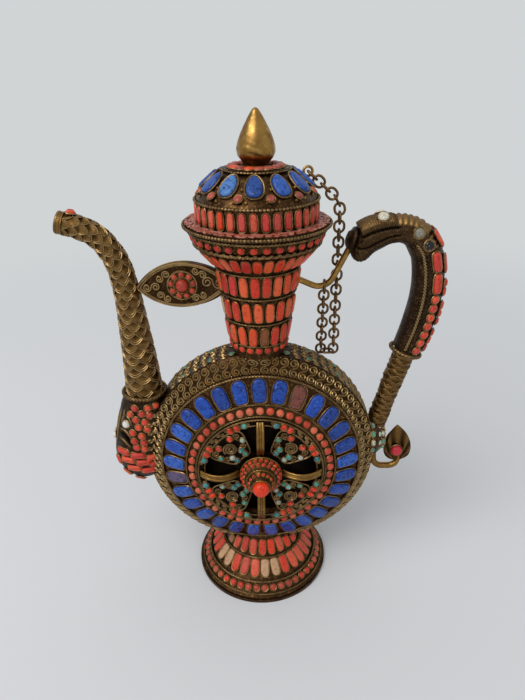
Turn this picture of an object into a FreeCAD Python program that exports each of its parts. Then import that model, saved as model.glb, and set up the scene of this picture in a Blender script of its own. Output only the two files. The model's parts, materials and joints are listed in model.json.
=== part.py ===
import FreeCAD, Part
import math
import os

# Jewelled flask ewer. Millimetres, +Z up, spout towards -X, handle towards +X, front towards -Y.
# The origin is on the floor under the middle of the foot.

V = FreeCAD.Vector

# Sheet, wire and fits
SHEET = 1.2                 # beaten sheet
SEAT = 0.03                 # solder gap under a stone or a wire
WIRE = 0.9                  # radius of a twisted ring wire
FINE_WIRE = 0.6             # radius of a fine ring wire
STONE_GAP = 1.3             # least space between neighbouring stones in a row

# Foot
FOOT_RADIUS = 45.0
FOOT_RIM_WIDTH = 4.0
FOOT_RIM_HEIGHT = 2.4
FOOT_SKIRT_RADIUS = 43.6
FOOT_STEP_RADIUS = 36.0
FOOT_STEP_HEIGHT = 10.8
FOOT_WAIST_RADIUS = 26.0
FOOT_WAIST_HEIGHT = 21.8
FOOT_TOP_RADIUS = 18.6
FOOT_TOP_HEIGHT = 33.0
FOOT_LOW_TABLET = (10.6, 2.2, 2.6, 1.7)
FOOT_HIGH_TABLET = (9.4, 2.1, 2.1, 1.7)
FOOT_BEAD = 2.05

# Flask
FLASK_HEIGHT = 96.0         # height of its centre
BAND_RADIUS = 72.0
BAND_HALF_WIDTH = 10.0
EDGE_RADIUS = 62.0
EDGE_DEPTH = 17.5
BEAD_RING_RADIUS = 46.5
BEAD_RING_DEPTH = 23.5
EDGE_WIRE_PLACE = 0.4       # how far inside the edge its wire lies
LAND_RADIUS = 38.8
LAND_WIDTH = 2.3
LAND_DEPTH = 27.0
RECESS_DEPTH = 22.5         # floor of the dish behind the medallion
FLASK_LAPIS = (12.6, 3.4, 3.9, 2.2)
FLASK_LAPIS_SPACE = 3.7
FLASK_BEAD = 1.9
FLASK_BEAD_SPACE = 2.1

# Medallion, prongs and boss
MEDALLION_SHEET = 1.2
MEDALLION_RING_WIDTH = 4.4
HUB_RADIUS = 15.2
PETAL_WIDTH = 7.4
PETAL_TIP_WIDTH = 5.6
PRONG_START = 13.8
PRONG_END = 36.6
PRONG_RISE = 6.4
PRONG_WIDTH = 4.8
PRONG_THICKNESS = 2.2
BOSS_RADIUS = 12.6
BOSS_FOOT = 1.8
BOSS_STEP_RADIUS = 8.0
BOSS_STEP = 8.6
BOSS_TOP_RADIUS = 5.4
BOSS_HEIGHT = 15.0
BOSS_CORAL = 4.8
MEDALLION_STONE = 1.7

# Neck
NECK_RADIUS = 15.6
NECK_STEP = 3.0             # from the band up to the foot of the stem
NECK_TOP_RADIUS = 23.4
NECK_LENGTH = 50.5          # height of the stem
FUNNEL_RADIUS = 33.8
FUNNEL_RISE = 12.0
MOUTH_RADIUS = 37.0
LIP_RISE = 8.5
NECK_TABLET = (10.6, 2.1, 2.2, 1.8)
NECK_TABLET_SPACE = 1.6
FUNNEL_TABLET = (9.4, 2.0, 2.3, 1.6)
NECK_BEAD = 1.8
NECK_ROWS = (0.229, 0.536, 0.847)   # middles of the tablet rows, as shares of the stem
NECK_WIRES = (0.0998, 0.3797, 0.693, 0.971)
NECK_BEAD_ROW = 0.043

# Lid
PLUG_DEPTH = 4.0            # how far the plug reaches below the flange
PLUG_CLEARANCE = 1.1
PLUG_WALL = 1.6
FLANGE_RADIUS = 39.0
FLANGE_THICKNESS = 3.0
FLANGE_INNER = 29.4
LID_WALL_RADIUS = 32.0
LID_WALL_HEIGHT = 12.0
DOME_TOP_RADIUS = 16.4
DOME_RISE = 13.4
DOME_BULGE = 1.9
DISC_RADIUS = 17.4
DISC_THICKNESS = 1.4
LID_TABLET = (8.4, 1.7, 1.8, 1.5)
LID_TABLET_SPACE = 2.1
LID_LAPIS = (11.6, 3.4, 2.6, 2.2)
LID_LAPIS_COUNT = 12
LID_BEAD = 1.35
DISC_BEAD = 1.9
FINIAL_FOOT = 6.6
FINIAL_RADIUS = 10.2
FINIAL_BULB = 8.6           # height of the widest place above its foot
FINIAL_HEIGHT = 28.2
FINIAL_TIP = 1.6
SHANK_RADIUS = 2.0
SHANK_CLEARANCE = 0.1
SHANK_LENGTH = 5.0

# Spout: (x, z, radius) of each section, from its root to its tip.
# This plan and the next ones give heights over the middle of the flask.
SPOUT_WALL = 1.4
SPOUT_PLAN = ((-72.0, 42.0, 11.4), (-72.3, 62.0, 10.3), (-73.4, 84.0, 8.9), (-75.0, 107.0, 7.5),
              (-78.4, 126.0, 7.0), (-86.5, 139.4, 6.6), (-97.0, 145.6, 6.5), (-108.0, 148.6, 6.1))
# Monster head: (x, z, half length, half thickness) of each level section
HEAD_PLAN = ((-72.0, 42.0, 11.9, 11.9), (-73.6, 28.0, 15.6, 14.0), (-76.0, 10.0, 17.6, 15.4),
             (-77.4, -4.0, 17.6, 14.6), (-77.6, -14.0, 13.6, 11.4), (-77.4, -21.0, 5.6, 5.0))
HEAD_WALL = 1.6
INLET_RADIUS = 8.0
INLET_RISE = 10.0
COLLAR_WIRE = 1.4
HEAD_BEAD = 1.9
HEAD_JAW = (6.4, 1.7, 1.7, 1.5)
EYE = 2.4
KNOB = 2.2
# Places beside the head from which its stones are pressed on, (x, z)
CHEEK_PLACES = ((-84.0, 32.0), (-78.0, 34.0), (-88.0, 25.0), (-82.0, 27.0), (-76.0, 28.0), (-90.0, 17.0),
                (-84.0, 20.0), (-78.0, 21.0))
CHEEK_REACH = 26.0
JAW_PLACES = ((-101.0, -4.0), (-95.0, -20.0), (-82.0, -30.0))
JAW_REACH = 19.0
EYE_PLACES = ((-84.0, 8.0),)
EYE_REACH = 30.0
KNOB_PLACES = ((-97.0, 166.0),)

# Leaf strut between spout and neck
# Its tip, top, root (upper and lower corner) and underside, (x, z), then the middle of its rosette
STRUT_PLAN = ((-69.0, 111.0), (-42.0, 125.2), (-16.0, 115.5), (-16.0, 110.0), (-44.0, 99.6), (-43.0, 112.3))
STRUT_HALF = 1.7
STRUT_CORAL = 3.6
STRUT_BEAD = 1.5
STRUT_BEAD_RING = 6.4

# Handle: (x, z, radius) of each section, dragon's snout first, then grip, then sleeve
DRAGON_PLAN = ((49.2, 138.4, 3.4), (51.6, 137.6, 6.4), (56.6, 136.8, 8.8), (63.8, 140.2, 9.2),
               (71.6, 142.4, 8.0), (79.6, 142.6, 7.8), (87.0, 139.2, 8.2))
GRIP_PLAN = ((92.8, 131.0, 8.8), (95.8, 118.0, 9.1), (96.0, 103.0, 9.2), (93.2, 86.0, 9.2), (88.6, 70.0, 8.6))
SLEEVE_PLAN = ((84.0, 54.0, 6.6), (79.0, 35.0, 6.3), (74.6, 17.0, 6.4))
GRIP_WALL = 1.6
GRIP_RING_WIRE = 1.5
GRIP_TABLET = (10.4, 2.4, 2.4, 1.8)
GRIP_TABLET_PLACES = (7.4, 19.4)    # distances below the dragon's head
GRIP_BEAD = 2.3
GRIP_BEAD_START = 28.4
GRIP_BEAD_PITCH = 5.7
GRIP_BEAD_ROWS = 8
GRIP_SPREAD = 27.0          # angle of each stone column from the outside of the grip
ROOT_RISE = 7.0
ROOT_RADIUS = 13.0
ROOT_NOSE_RADIUS = 7.0
ROOT_REACH = 80.0
ROOT_SHOULDER = 73.5
DRAGON_STONE = 3.0
BROW_PLACES = ((66.0, 166.0),)
BROW_REACH = 12.0
MANE_PLACES = ((80.0, 150.0),)
MANE_REACH = 26.0

# Wire rod from the neck to the dragon's mouth, and the scroll at the tail
ROD_PLAN = ((18.0, 116.6), (38.6, 107.4), (52.6, 136.0))
ROD_BEND = 9.0
ROD_RADIUS = 1.75
TAIL_PLAN = ((73.0, 10.0), (75.6, -18.4), (91.8, -18.4), (91.8, 0.0))
TAIL_BEND = 6.4
TAIL_RADIUS = 1.6
LEAF_PLAN = ((93.2, -11.4), (88.8, 15.0))      # foot and tip
LEAF_BROAD = 7.8
LEAF_POINT = 2.0
LEAF_HALF = 3.4
LEAF_CORAL = 3.2

# Chain
LINK_WIRE = 0.7
LINK_BEND = 2.75            # radius of the middle of the wire at each end
LINK_STRAIGHT = 1.0
BIGHT_STRAIGHT = 2.2        # straight of the long links: the one at the turn and the ring on the rod
LINK_GAP = 0.12             # play of two links that pull on each other
LINK_SLACK = 0.86            # extra play between two groups of links
RING_PLAY = 0.4             # play of the chain's last ring over the slanted rod
CHAIN_DEPTH = 6.4           # how far behind the middle the chain hangs
CHAIN_X = 45.4
FALL_GROUPS = 5
FALL_LINKS = 3
RETURN_GROUPS = 2
RETURN_LINKS = 3
FIXED_LINKS = 3             # links that hang still from the ring on the rod
BIGHT_RISE = 65.6            # height of the chain's turn over the middle of the flask
DRAPE_BEND = 14.0
DRAPE_LEAN = 138.0          # angle of the links on the dome
EYELET_HOLE = 1.7
EYELET_RADIUS = 24.2        # distance of the eyelet from the lid's axis
EYELET_LIFT = 1.7



def raised(plan):
    """The places of a plan with their heights counted from the floor."""
    return tuple((place[0], place[1] + FLASK_HEIGHT) + tuple(place[2:]) for place in plan)


# Sizes that follow from the ones above
FOOT_JOIN = FLASK_HEIGHT - BAND_RADIUS + 24.0
NECK_JOIN = FLASK_HEIGHT + BAND_RADIUS - 10.0
NECK_FOOT_HEIGHT = FLASK_HEIGHT + BAND_RADIUS + NECK_STEP
NECK_TOP_HEIGHT = NECK_FOOT_HEIGHT + NECK_LENGTH
FUNNEL_HEIGHT = NECK_TOP_HEIGHT + FUNNEL_RISE
MOUTH_HEIGHT = FUNNEL_HEIGHT + LIP_RISE
INLET_HEIGHT = FLASK_HEIGHT + INLET_RISE
ROOT_HEIGHT = FLASK_HEIGHT + ROOT_RISE
BIGHT_HEIGHT = FLASK_HEIGHT + BIGHT_RISE
SPOUT = raised(SPOUT_PLAN)
HEAD = raised(HEAD_PLAN)
STRUT = raised(STRUT_PLAN)
DRAGON = raised(DRAGON_PLAN)
GRIP = raised(GRIP_PLAN)
SLEEVE = raised(SLEEVE_PLAN)
ROD = raised(ROD_PLAN)
TAIL = raised(TAIL_PLAN)
LEAF_FOOT, LEAF_TIP = raised(LEAF_PLAN)
FLANGE_TOP = MOUTH_HEIGHT + FLANGE_THICKNESS
WALL_TOP = FLANGE_TOP + LID_WALL_HEIGHT
DOME_TOP = WALL_TOP + DOME_RISE
DISC_TOP = DOME_TOP + DISC_THICKNESS
MEDALLION_TOP = LAND_DEPTH + MEDALLION_SHEET
LINK_PITCH = 2 * LINK_BEND + LINK_STRAIGHT - 2 * LINK_WIRE - LINK_GAP


def seat(shape, origin, across, along, normal):
    """A copy of a shape with its X, Y and Z axes laid across, along and out of a surface."""
    matrix = FreeCAD.Matrix(across.x, along.x, normal.x, origin.x,
                            across.y, along.y, normal.y, origin.y,
                            across.z, along.z, normal.z, origin.z,
                            0, 0, 0, 1)
    placed = shape.copy()
    placed.Placement = FreeCAD.Placement(matrix)
    return placed


def unit(vector):
    """A vector of length one in the same direction."""
    return vector * (1.0 / vector.Length)


def solid_of(shape):
    """The single solid of a shape, turned so that its volume is positive."""
    solid = shape.Solids[0] if shape.Solids else Part.Solid(shape)
    if solid.Volume < 0:
        solid.reverse()
    return solid


class Lathe:
    """A turning axis. Outlines on it are (radius, height along the axis) points."""

    def __init__(self, origin, axis, zero):
        self.origin = origin
        self.axis = axis
        self.zero = zero
        self.side = axis.cross(zero)

    def out(self, angle):
        """Direction away from the axis at an angle in degrees."""
        turn = math.radians(angle)
        return self.zero * math.cos(turn) + self.side * math.sin(turn)

    def point(self, angle, radius, height):
        """A point at an angle, a radius and a height."""
        return self.origin + self.out(angle) * radius + self.axis * height

    def turned(self, outline):
        """The solid that a closed outline of straight runs sweeps in a full turn."""
        corners = [self.point(0, r, h) for r, h in outline]
        face = Part.Face(Part.makePolygon(corners + corners[:1]))
        return solid_of(face.revolve(self.origin, self.axis, 360))

    def ring(self, place, wire):
        """A round wire ring whose middle goes through a (radius, height) place."""
        return Part.makeTorus(place[0], wire, self.point(0, 0, place[1]), self.axis)


class Slope:
    """A straight stretch of an outline that carries wires and stones on its outer side."""

    def __init__(self, lathe, start, end):
        self.lathe = lathe
        self.start = start
        self.length = math.hypot(end[0] - start[0], end[1] - start[1])
        self.run = (end[0] - start[0]) / self.length
        self.rise = (end[1] - start[1]) / self.length

    def at(self, along, lift):
        """The (radius, height) a distance along the stretch and a lift off it."""
        radius = self.start[0] + self.run * along + self.rise * lift
        height = self.start[1] + self.rise * along - self.run * lift
        return radius, height

    def place(self, stone, angle, along):
        """A stone on the stretch at an angle about the axis."""
        radius, height = self.at(along, SEAT)
        out = self.lathe.out(angle)
        up = out * self.run + self.lathe.axis * self.rise
        normal = out * self.rise - self.lathe.axis * self.run
        return seat(stone, self.lathe.point(angle, radius, height), up.cross(normal), up, normal)

    def count(self, along, width, space):
        """How many stones of a width go round the stretch at a place."""
        return int(2 * math.pi * self.at(along, 0)[0] / (width + space))

    def row(self, stone, along, count, first=0.0, keep=None):
        """Stones evenly round the axis; keep(angle) says which places are filled."""
        angles = [first + 360.0 * step / count for step in range(count)]
        return [self.place(stone, angle, along) for angle in angles if keep is None or keep(angle)]

    def wire(self, along, wire):
        """A ring wire that lies on the stretch."""
        return self.lathe.ring(self.at(along, wire + SEAT), wire)


def inset(points, distance):
    """The points of an open outline moved inwards by the sheet's thickness, with mitred corners."""
    normals = []
    for (r0, h0), (r1, h1) in zip(points, points[1:]):
        length = math.hypot(r1 - r0, h1 - h0)
        normals.append(((h1 - h0) / length, -(r1 - r0) / length))
    moved = []
    for index, (radius, height) in enumerate(points):
        n0 = normals[max(index - 1, 0)]
        n1 = normals[min(index, len(normals) - 1)]
        share = 1.0 + n0[0] * n1[0] + n0[1] * n1[1]
        inward = distance / share
        moved.append((radius - inward * (n0[0] + n1[0]), height - inward * (n0[1] + n1[1])))
    return moved


def egg_face(length, low, high):
    """A flat outline round two circles, radius low at its lower end and high at its upper end."""
    lean = math.asin((low - high) / (length - low - high))
    right = V(math.cos(lean), math.sin(lean), 0)
    left = V(-right.x, right.y, 0)
    base = V(0, low - length / 2, 0)
    top = V(0, length / 2 - high, 0)
    edges = [Part.makeLine(base + right * low, top + right * high),
             Part.Arc(top + right * high, V(0, length / 2, 0), top + left * high).toShape(),
             Part.makeLine(top + left * high, base + left * low),
             Part.Arc(base + left * low, V(0, -length / 2, 0), base + right * low).toShape()]
    return Part.Face(Part.Wire(edges))


def tablet(size):
    """A long stone with a flat back at Z = 0 and a rounded top edge: (length, low, high, height)."""
    length, low, high, height = size
    block = egg_face(length, low, high).extrude(V(0, 0, height))
    edges = [edge for edge in block.Edges if edge.BoundBox.ZMin > height / 2]
    return block.makeFillet(0.7 * height, edges)


def bead(radius):
    """A half-round stone with its flat back at Z = 0."""
    return Part.makeSphere(radius, V(0, 0, 0), V(0, 0, 1), 0, 90, 360)


def nearest(solid, probe):
    """The point of a solid nearest to a probe, and the direction from it to the probe."""
    near = solid.distToShape(Part.Vertex(probe))[1][0][0]
    return near, unit(probe - near)


def seat_on(solid, stone, probe, along):
    """A stone on the surface of a solid, below a probe, with its length laid along a direction."""
    near, normal = nearest(solid, probe)
    across = unit(along.cross(normal))
    return seat(stone, near + normal * SEAT, across, normal.cross(across), normal)


def pressed(solid, stone, places, reach, along):
    """Stones on a solid, each pressed on from a place beside it at a reach along Y."""
    return [seat_on(solid, stone, V(x, reach, z), along) for x, z in raised(places)]


def tangents(stations):
    """Directions along a run of stations, each taken from its two neighbours."""
    points = [V(s[0], 0, s[1]) for s in stations]
    last = len(points) - 1
    return [unit(points[min(i + 1, last)] - points[max(i - 1, 0)]) for i in range(last + 1)]


def loft(stations, directions, shrink=0.0):
    """A round form through sections across a path."""
    wires = []
    for (x, z, radius), direction in zip(stations, directions):
        circle = Part.Circle(V(x, 0, z), direction, radius - shrink)
        wires.append(Part.Wire(circle.toShape()))
    return solid_of(Part.makeLoft(wires, True))


def oval_loft(sections, shrink=0.0):
    """A form through level oval sections, each (x, z, half length, half thickness)."""
    wires = []
    for x, z, long, thick in sections:
        oval = Part.Ellipse(V(x, 0, z), long - shrink, thick - shrink - 0.01)
        wires.append(Part.Wire(oval.toShape()))
    return solid_of(Part.makeLoft(wires, True))


def rounded_path(points, bend):
    """A path in the plane Y = 0: straight runs joined by arcs of one radius."""
    corners = [V(x, 0, z) for x, z in points]
    edges = []
    start = corners[0]
    for before, corner, after in zip(corners, corners[1:], corners[2:]):
        back = unit(before - corner)
        ahead = unit(after - corner)
        half = back.getAngle(ahead) / 2
        trim = bend / math.tan(half)
        inward = unit(back + ahead)
        middle = corner + inward * (bend / math.sin(half) - bend)
        edges.append(Part.makeLine(start, corner + back * trim))
        edges.append(Part.Arc(corner + back * trim, middle, corner + ahead * trim).toShape())
        start = corner + ahead * trim
    edges.append(Part.makeLine(start, corners[-1]))
    return Part.Wire(edges)


def rod(points, bend, radius):
    """A round rod along a rounded path."""
    path = rounded_path(points, bend)
    first = path.Edges[0]
    circle = Part.Circle(first.Vertexes[0].Point, first.tangentAt(first.FirstParameter), radius)
    return solid_of(path.makePipeShell([Part.Wire(circle.toShape())], True, False))


STAND = Lathe(V(0, 0, 0), V(0, 0, 1), V(1, 0, 0))
FRONT = Lathe(V(0, 0, FLASK_HEIGHT), V(0, -1, 0), V(0, 0, 1))
BACK = Lathe(V(0, 0, FLASK_HEIGHT), V(0, 1, 0), V(0, 0, 1))
FACES = (FRONT, BACK)

# Outlines that several pieces share
FOOT_LINE = [(FOOT_SKIRT_RADIUS, FOOT_RIM_HEIGHT), (FOOT_STEP_RADIUS, FOOT_STEP_HEIGHT),
             (FOOT_WAIST_RADIUS, FOOT_WAIST_HEIGHT), (FOOT_TOP_RADIUS, FOOT_TOP_HEIGHT),
             (FOOT_TOP_RADIUS, FOOT_JOIN)]
FACE_LINE = [(EDGE_RADIUS, EDGE_DEPTH), (BEAD_RING_RADIUS, BEAD_RING_DEPTH), (LAND_RADIUS, LAND_DEPTH)]
NECK_LINE = [(NECK_RADIUS, NECK_JOIN), (NECK_RADIUS, NECK_FOOT_HEIGHT), (NECK_TOP_RADIUS, NECK_TOP_HEIGHT),
             (FUNNEL_RADIUS, FUNNEL_HEIGHT), (MOUTH_RADIUS, MOUTH_HEIGHT)]

FLASK = FRONT.turned([(0, -LAND_DEPTH)] + [(r, -h) for r, h in reversed(FACE_LINE)]
                     + [(BAND_RADIUS, -BAND_HALF_WIDTH), (BAND_RADIUS, BAND_HALF_WIDTH)]
                     + FACE_LINE + [(0, LAND_DEPTH)])
NECK_BODY = STAND.turned(NECK_LINE + [(0, MOUTH_HEIGHT), (0, NECK_JOIN)])
SPOUT_RUN = [V(0, 0, 1)] + tangents(SPOUT)[1:]
SPOUT_BODY = loft(SPOUT, SPOUT_RUN)
HEAD_BODY = oval_loft(HEAD)
HANDLE = DRAGON + GRIP + SLEEVE
HANDLE_RUN = tangents(HANDLE)


def foot_pieces():
    """Foot: rim ring, spun sheet up to the flask, ring wires and stones."""
    rim_inner = FOOT_RADIUS - FOOT_RIM_WIDTH
    rim = STAND.turned([(rim_inner, 0), (FOOT_RADIUS, 0), (FOOT_RADIUS, FOOT_RIM_HEIGHT),
                        (rim_inner, FOOT_RIM_HEIGHT)])
    inner = inset(FOOT_LINE, SHEET)
    inner[0] = (FOOT_SKIRT_RADIUS - 1.8 * SHEET, FOOT_RIM_HEIGHT)
    shell = STAND.turned(FOOT_LINE + inner[::-1]).cut(FLASK)
    for face in FACES:
        shell = shell.cut(Slope(face, FACE_LINE[0], FACE_LINE[1]).wire(EDGE_WIRE_PLACE, WIRE + SEAT))
    skirt = Slope(STAND, FOOT_LINE[0], FOOT_LINE[1])
    low = Slope(STAND, FOOT_LINE[1], FOOT_LINE[2])
    high = Slope(STAND, FOOT_LINE[2], FOOT_LINE[3])
    low_middle = low.length / 2 + 0.2
    high_middle = high.length / 2 - 0.4
    beads = skirt.row(bead(FOOT_BEAD), 6.6, skirt.count(6.6, 2 * FOOT_BEAD, STONE_GAP))
    low_row = low.row(tablet(FOOT_LOW_TABLET), low_middle,
                      low.count(low.length, 2 * FOOT_LOW_TABLET[2], 0.25 * STONE_GAP))
    high_row = high.row(tablet(FOOT_HIGH_TABLET), high_middle,
                        high.count(high.length, 2 * FOOT_HIGH_TABLET[2], 0.5 * STONE_GAP))
    high_row = [stone for stone in high_row if stone.distToShape(FLASK)[0] > STONE_GAP / 4]
    wires = [skirt.wire(skirt.length - 1.0, WIRE), low.wire(low.length - 0.7, FINE_WIRE),
             skirt.wire(2.6, FINE_WIRE)]
    return {"foot_rim": rim, "foot_shell": shell, "foot_wires": wires, "foot_beads": beads,
            "foot_tablets": low_row + high_row}


def flask_pieces():
    """Flask: side band with its two ways in, dished plates, ring wires and stones."""
    line = [(0, RECESS_DEPTH), (LAND_RADIUS - 2 * LAND_WIDTH, RECESS_DEPTH),
            (LAND_RADIUS - LAND_WIDTH, LAND_DEPTH)] + FACE_LINE[::-1]
    band = [(BAND_RADIUS, BAND_HALF_WIDTH), (BAND_RADIUS, -BAND_HALF_WIDTH), (EDGE_RADIUS, -EDGE_DEPTH)]
    inner = inset((line + band)[::-1], SHEET)[::-1]
    split = len(line)
    mouth = Part.makeCylinder(NECK_RADIUS - SHEET, BAND_RADIUS, V(0, 0, FLASK_HEIGHT))
    inlet = Part.makeCylinder(INLET_RADIUS, BAND_RADIUS, V(-2 * BAND_RADIUS + 10, 0, INLET_HEIGHT), V(1, 0, 0))
    low = inner[split - 1]
    ring = [FACE_LINE[0]] + band + [(low[0], -low[1])] + inner[split:split + 2][::-1] + [low]
    pieces = {"flask_band": FRONT.turned(ring).cut(mouth).cut(inlet)}
    wires, lapis, beads = [], [], []
    for name, face in (("flask_front", FRONT), ("flask_back", BACK)):
        pieces[name] = face.turned(line + inner[:split][::-1])
        lapis_slope = Slope(face, FACE_LINE[0], FACE_LINE[1])
        bead_slope = Slope(face, FACE_LINE[1], FACE_LINE[2])
        wires += [lapis_slope.wire(EDGE_WIRE_PLACE, WIRE), bead_slope.wire(0.6, FINE_WIRE),
                  bead_slope.wire(bead_slope.length - 0.8, FINE_WIRE)]
        middle = lapis_slope.length / 2 + 0.5
        width = 2 * FLASK_LAPIS[2]
        count = lapis_slope.count(middle, width, FLASK_LAPIS_SPACE)
        lapis += lapis_slope.row(tablet(FLASK_LAPIS), middle, count)
        middle = bead_slope.length / 2
        beads += bead_slope.row(bead(FLASK_BEAD), middle,
                                bead_slope.count(middle, 2 * FLASK_BEAD, FLASK_BEAD_SPACE))
    pieces.update({"flask_wires": wires, "flask_lapis": lapis, "flask_beads": beads})
    return pieces


def prong(face, angle):
    """An arched strap that stands on the medallion from its hub to its ring."""
    half = (PRONG_END - PRONG_START) / 2
    radius = (half * half + PRONG_RISE * PRONG_RISE) / (2 * PRONG_RISE)
    middle = (PRONG_START + PRONG_END) / 2
    depth = MEDALLION_TOP + PRONG_RISE - radius - PRONG_THICKNESS / 2
    centre = face.point(angle, middle, depth)
    side = face.axis.cross(face.out(angle))
    section = egg_face(PRONG_WIDTH, PRONG_THICKNESS / 2.05, PRONG_THICKNESS / 2.05)
    top = seat(section, centre + face.axis * radius, face.axis, side, face.axis.cross(side))
    strap = solid_of(top.revolve(centre, side, 80)).fuse(solid_of(top.revolve(centre, side, -80)))
    room = Part.makeBox(200, 200, 60)
    corner = face.point(angle, -100, MEDALLION_TOP + SEAT) - side * 100
    return strap.removeSplitter().common(seat(room, corner, face.out(angle), side, face.axis))


def medallion(face):
    """The openwork plate: a ring, a hub and four petals on the diagonals."""
    outer = LAND_RADIUS - 0.4
    inner = LAND_RADIUS - MEDALLION_RING_WIDTH
    ring = face.turned([(inner, LAND_DEPTH), (outer, LAND_DEPTH), (outer, MEDALLION_TOP), (inner, MEDALLION_TOP)])
    plate = ring.fuse(face.turned([(0, LAND_DEPTH), (HUB_RADIUS, LAND_DEPTH), (HUB_RADIUS, MEDALLION_TOP),
                                   (0, MEDALLION_TOP)]))
    reach = LAND_RADIUS - MEDALLION_RING_WIDTH / 2 - HUB_RADIUS / 2
    petal = egg_face(reach, PETAL_WIDTH, PETAL_TIP_WIDTH).extrude(V(0, 0, MEDALLION_SHEET))
    for angle in (45, 135, 225, 315):
        out = face.out(angle)
        place = face.point(angle, HUB_RADIUS / 2 + reach / 2, LAND_DEPTH)
        plate = plate.fuse(seat(petal, place, out.cross(face.axis), out, face.axis))
    return plate.removeSplitter()


def medallion_pieces():
    """Both medallions with their prongs, stepped bosses and stones."""
    prongs, bosses, corals, stones = [], [], [], []
    pieces = {}
    for name, face in (("medallion_front", FRONT), ("medallion_back", BACK)):
        pieces[name] = medallion(face)
        prongs += [prong(face, angle) for angle in (0, 90, 180, 270)]
        foot = MEDALLION_TOP + SEAT
        step = foot + BOSS_STEP
        top = foot + BOSS_HEIGHT
        bosses.append(face.turned([(0, foot), (BOSS_RADIUS, foot), (BOSS_RADIUS, foot + BOSS_FOOT),
                                   (BOSS_STEP_RADIUS + 0.8, step), (BOSS_STEP_RADIUS, step),
                                   (BOSS_TOP_RADIUS, top), (0, top)]))
        corals.append(seat(bead(BOSS_CORAL), face.point(0, 0, top + SEAT), face.side * -1, face.zero, face.axis))
        flat = Slope(face, (LAND_RADIUS, MEDALLION_TOP), (0, MEDALLION_TOP))
        for angle in (45, 135, 225, 315):
            for turn, radius in ((-9, 31.0), (9, 31.0), (0, 25.5), (-11, 20.5), (11, 20.5)):
                stones.append(flat.place(bead(MEDALLION_STONE), angle + turn, LAND_RADIUS - radius))
    pieces.update({"medallion_prongs": prongs, "medallion_bosses": bosses, "boss_corals": corals,
                   "medallion_stones": stones})
    return pieces


def clear_of_arms(angle):
    """Whether a place round the neck is clear of the strut (at 180 degrees) and of the rod (at 0)."""
    return min(abs((angle + shift) % 180.0) for shift in (0, 360)) > 10.5 and (180 - angle % 180.0) > 10.5


def neck_pieces():
    """Neck: funnel on the flask, ring wires, four rows of tablets and two rows of beads."""
    inner = inset(NECK_LINE, SHEET)
    inner[-1] = (inner[-1][0], MOUTH_HEIGHT)
    funnel = STAND.turned(NECK_LINE + inner[::-1]).cut(FLASK)
    stem = Slope(STAND, NECK_LINE[1], NECK_LINE[2])
    flare = Slope(STAND, NECK_LINE[2], NECK_LINE[3])
    lip = Slope(STAND, NECK_LINE[3], NECK_LINE[4])
    wires = [stem.wire(share * stem.length, FINE_WIRE) for share in NECK_WIRES]
    wires += [lip.wire(0.5, WIRE), lip.wire(lip.length - 1.2, WIRE)]
    width = 2 * NECK_TABLET[2]
    middle = flare.length / 2
    tablets = flare.row(tablet(FUNNEL_TABLET), middle, flare.count(middle, 2 * FUNNEL_TABLET[2], 0.9))
    for number, share in enumerate(NECK_ROWS):
        along = share * stem.length
        keep = clear_of_arms if number > 0 else None
        tablets += stem.row(tablet(NECK_TABLET), along, stem.count(along, width, NECK_TABLET_SPACE), 0.0, keep)
    along = NECK_BEAD_ROW * stem.length
    beads = stem.row(bead(NECK_BEAD), along, stem.count(along, 2 * NECK_BEAD, STONE_GAP))
    middle = lip.length / 2 - 0.3
    beads += lip.row(bead(NECK_BEAD), middle, lip.count(middle, 2 * NECK_BEAD, 2.6))
    return {"neck_funnel": funnel, "neck_wires": wires, "neck_tablets": tablets, "neck_beads": beads}


def spout_pieces():
    """Spout: bored tube, hollow monster head on the flask, collar, stones and the leaf strut."""
    bore = loft(SPOUT, SPOUT_RUN, SPOUT_WALL)
    hollow = oval_loft([HEAD[0]] + [(x, z + HEAD_WALL, a, b) for x, z, a, b in HEAD[1:]], HEAD_WALL)
    head = HEAD_BODY.cut(hollow).cut(FLASK)
    collar = Part.makeTorus(SPOUT[0][2] + COLLAR_WIRE + SEAT, COLLAR_WIRE,
                            V(SPOUT[0][0], 0, SPOUT[0][1] + COLLAR_WIRE + SEAT), V(0, 0, 1)).cut(FLASK)
    corals, eyes = [], []
    for side in (-1, 1):
        corals += pressed(HEAD_BODY, bead(HEAD_BEAD), CHEEK_PLACES, side * CHEEK_REACH, V(0, 0, 1))
        corals += pressed(HEAD_BODY, tablet(HEAD_JAW), JAW_PLACES, side * JAW_REACH, V(0.6, 0, -0.8))
        eyes += pressed(HEAD_BODY, bead(EYE), EYE_PLACES, side * EYE_REACH, V(0, 0, 1))
    corals += pressed(SPOUT_BODY, bead(KNOB), KNOB_PLACES, 0, V(1, 0, 0))
    return {"spout_tube": SPOUT_BODY.cut(bore), "spout_head": head, "spout_collar": collar,
            "spout_corals": corals, "spout_eyes": eyes}


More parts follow.
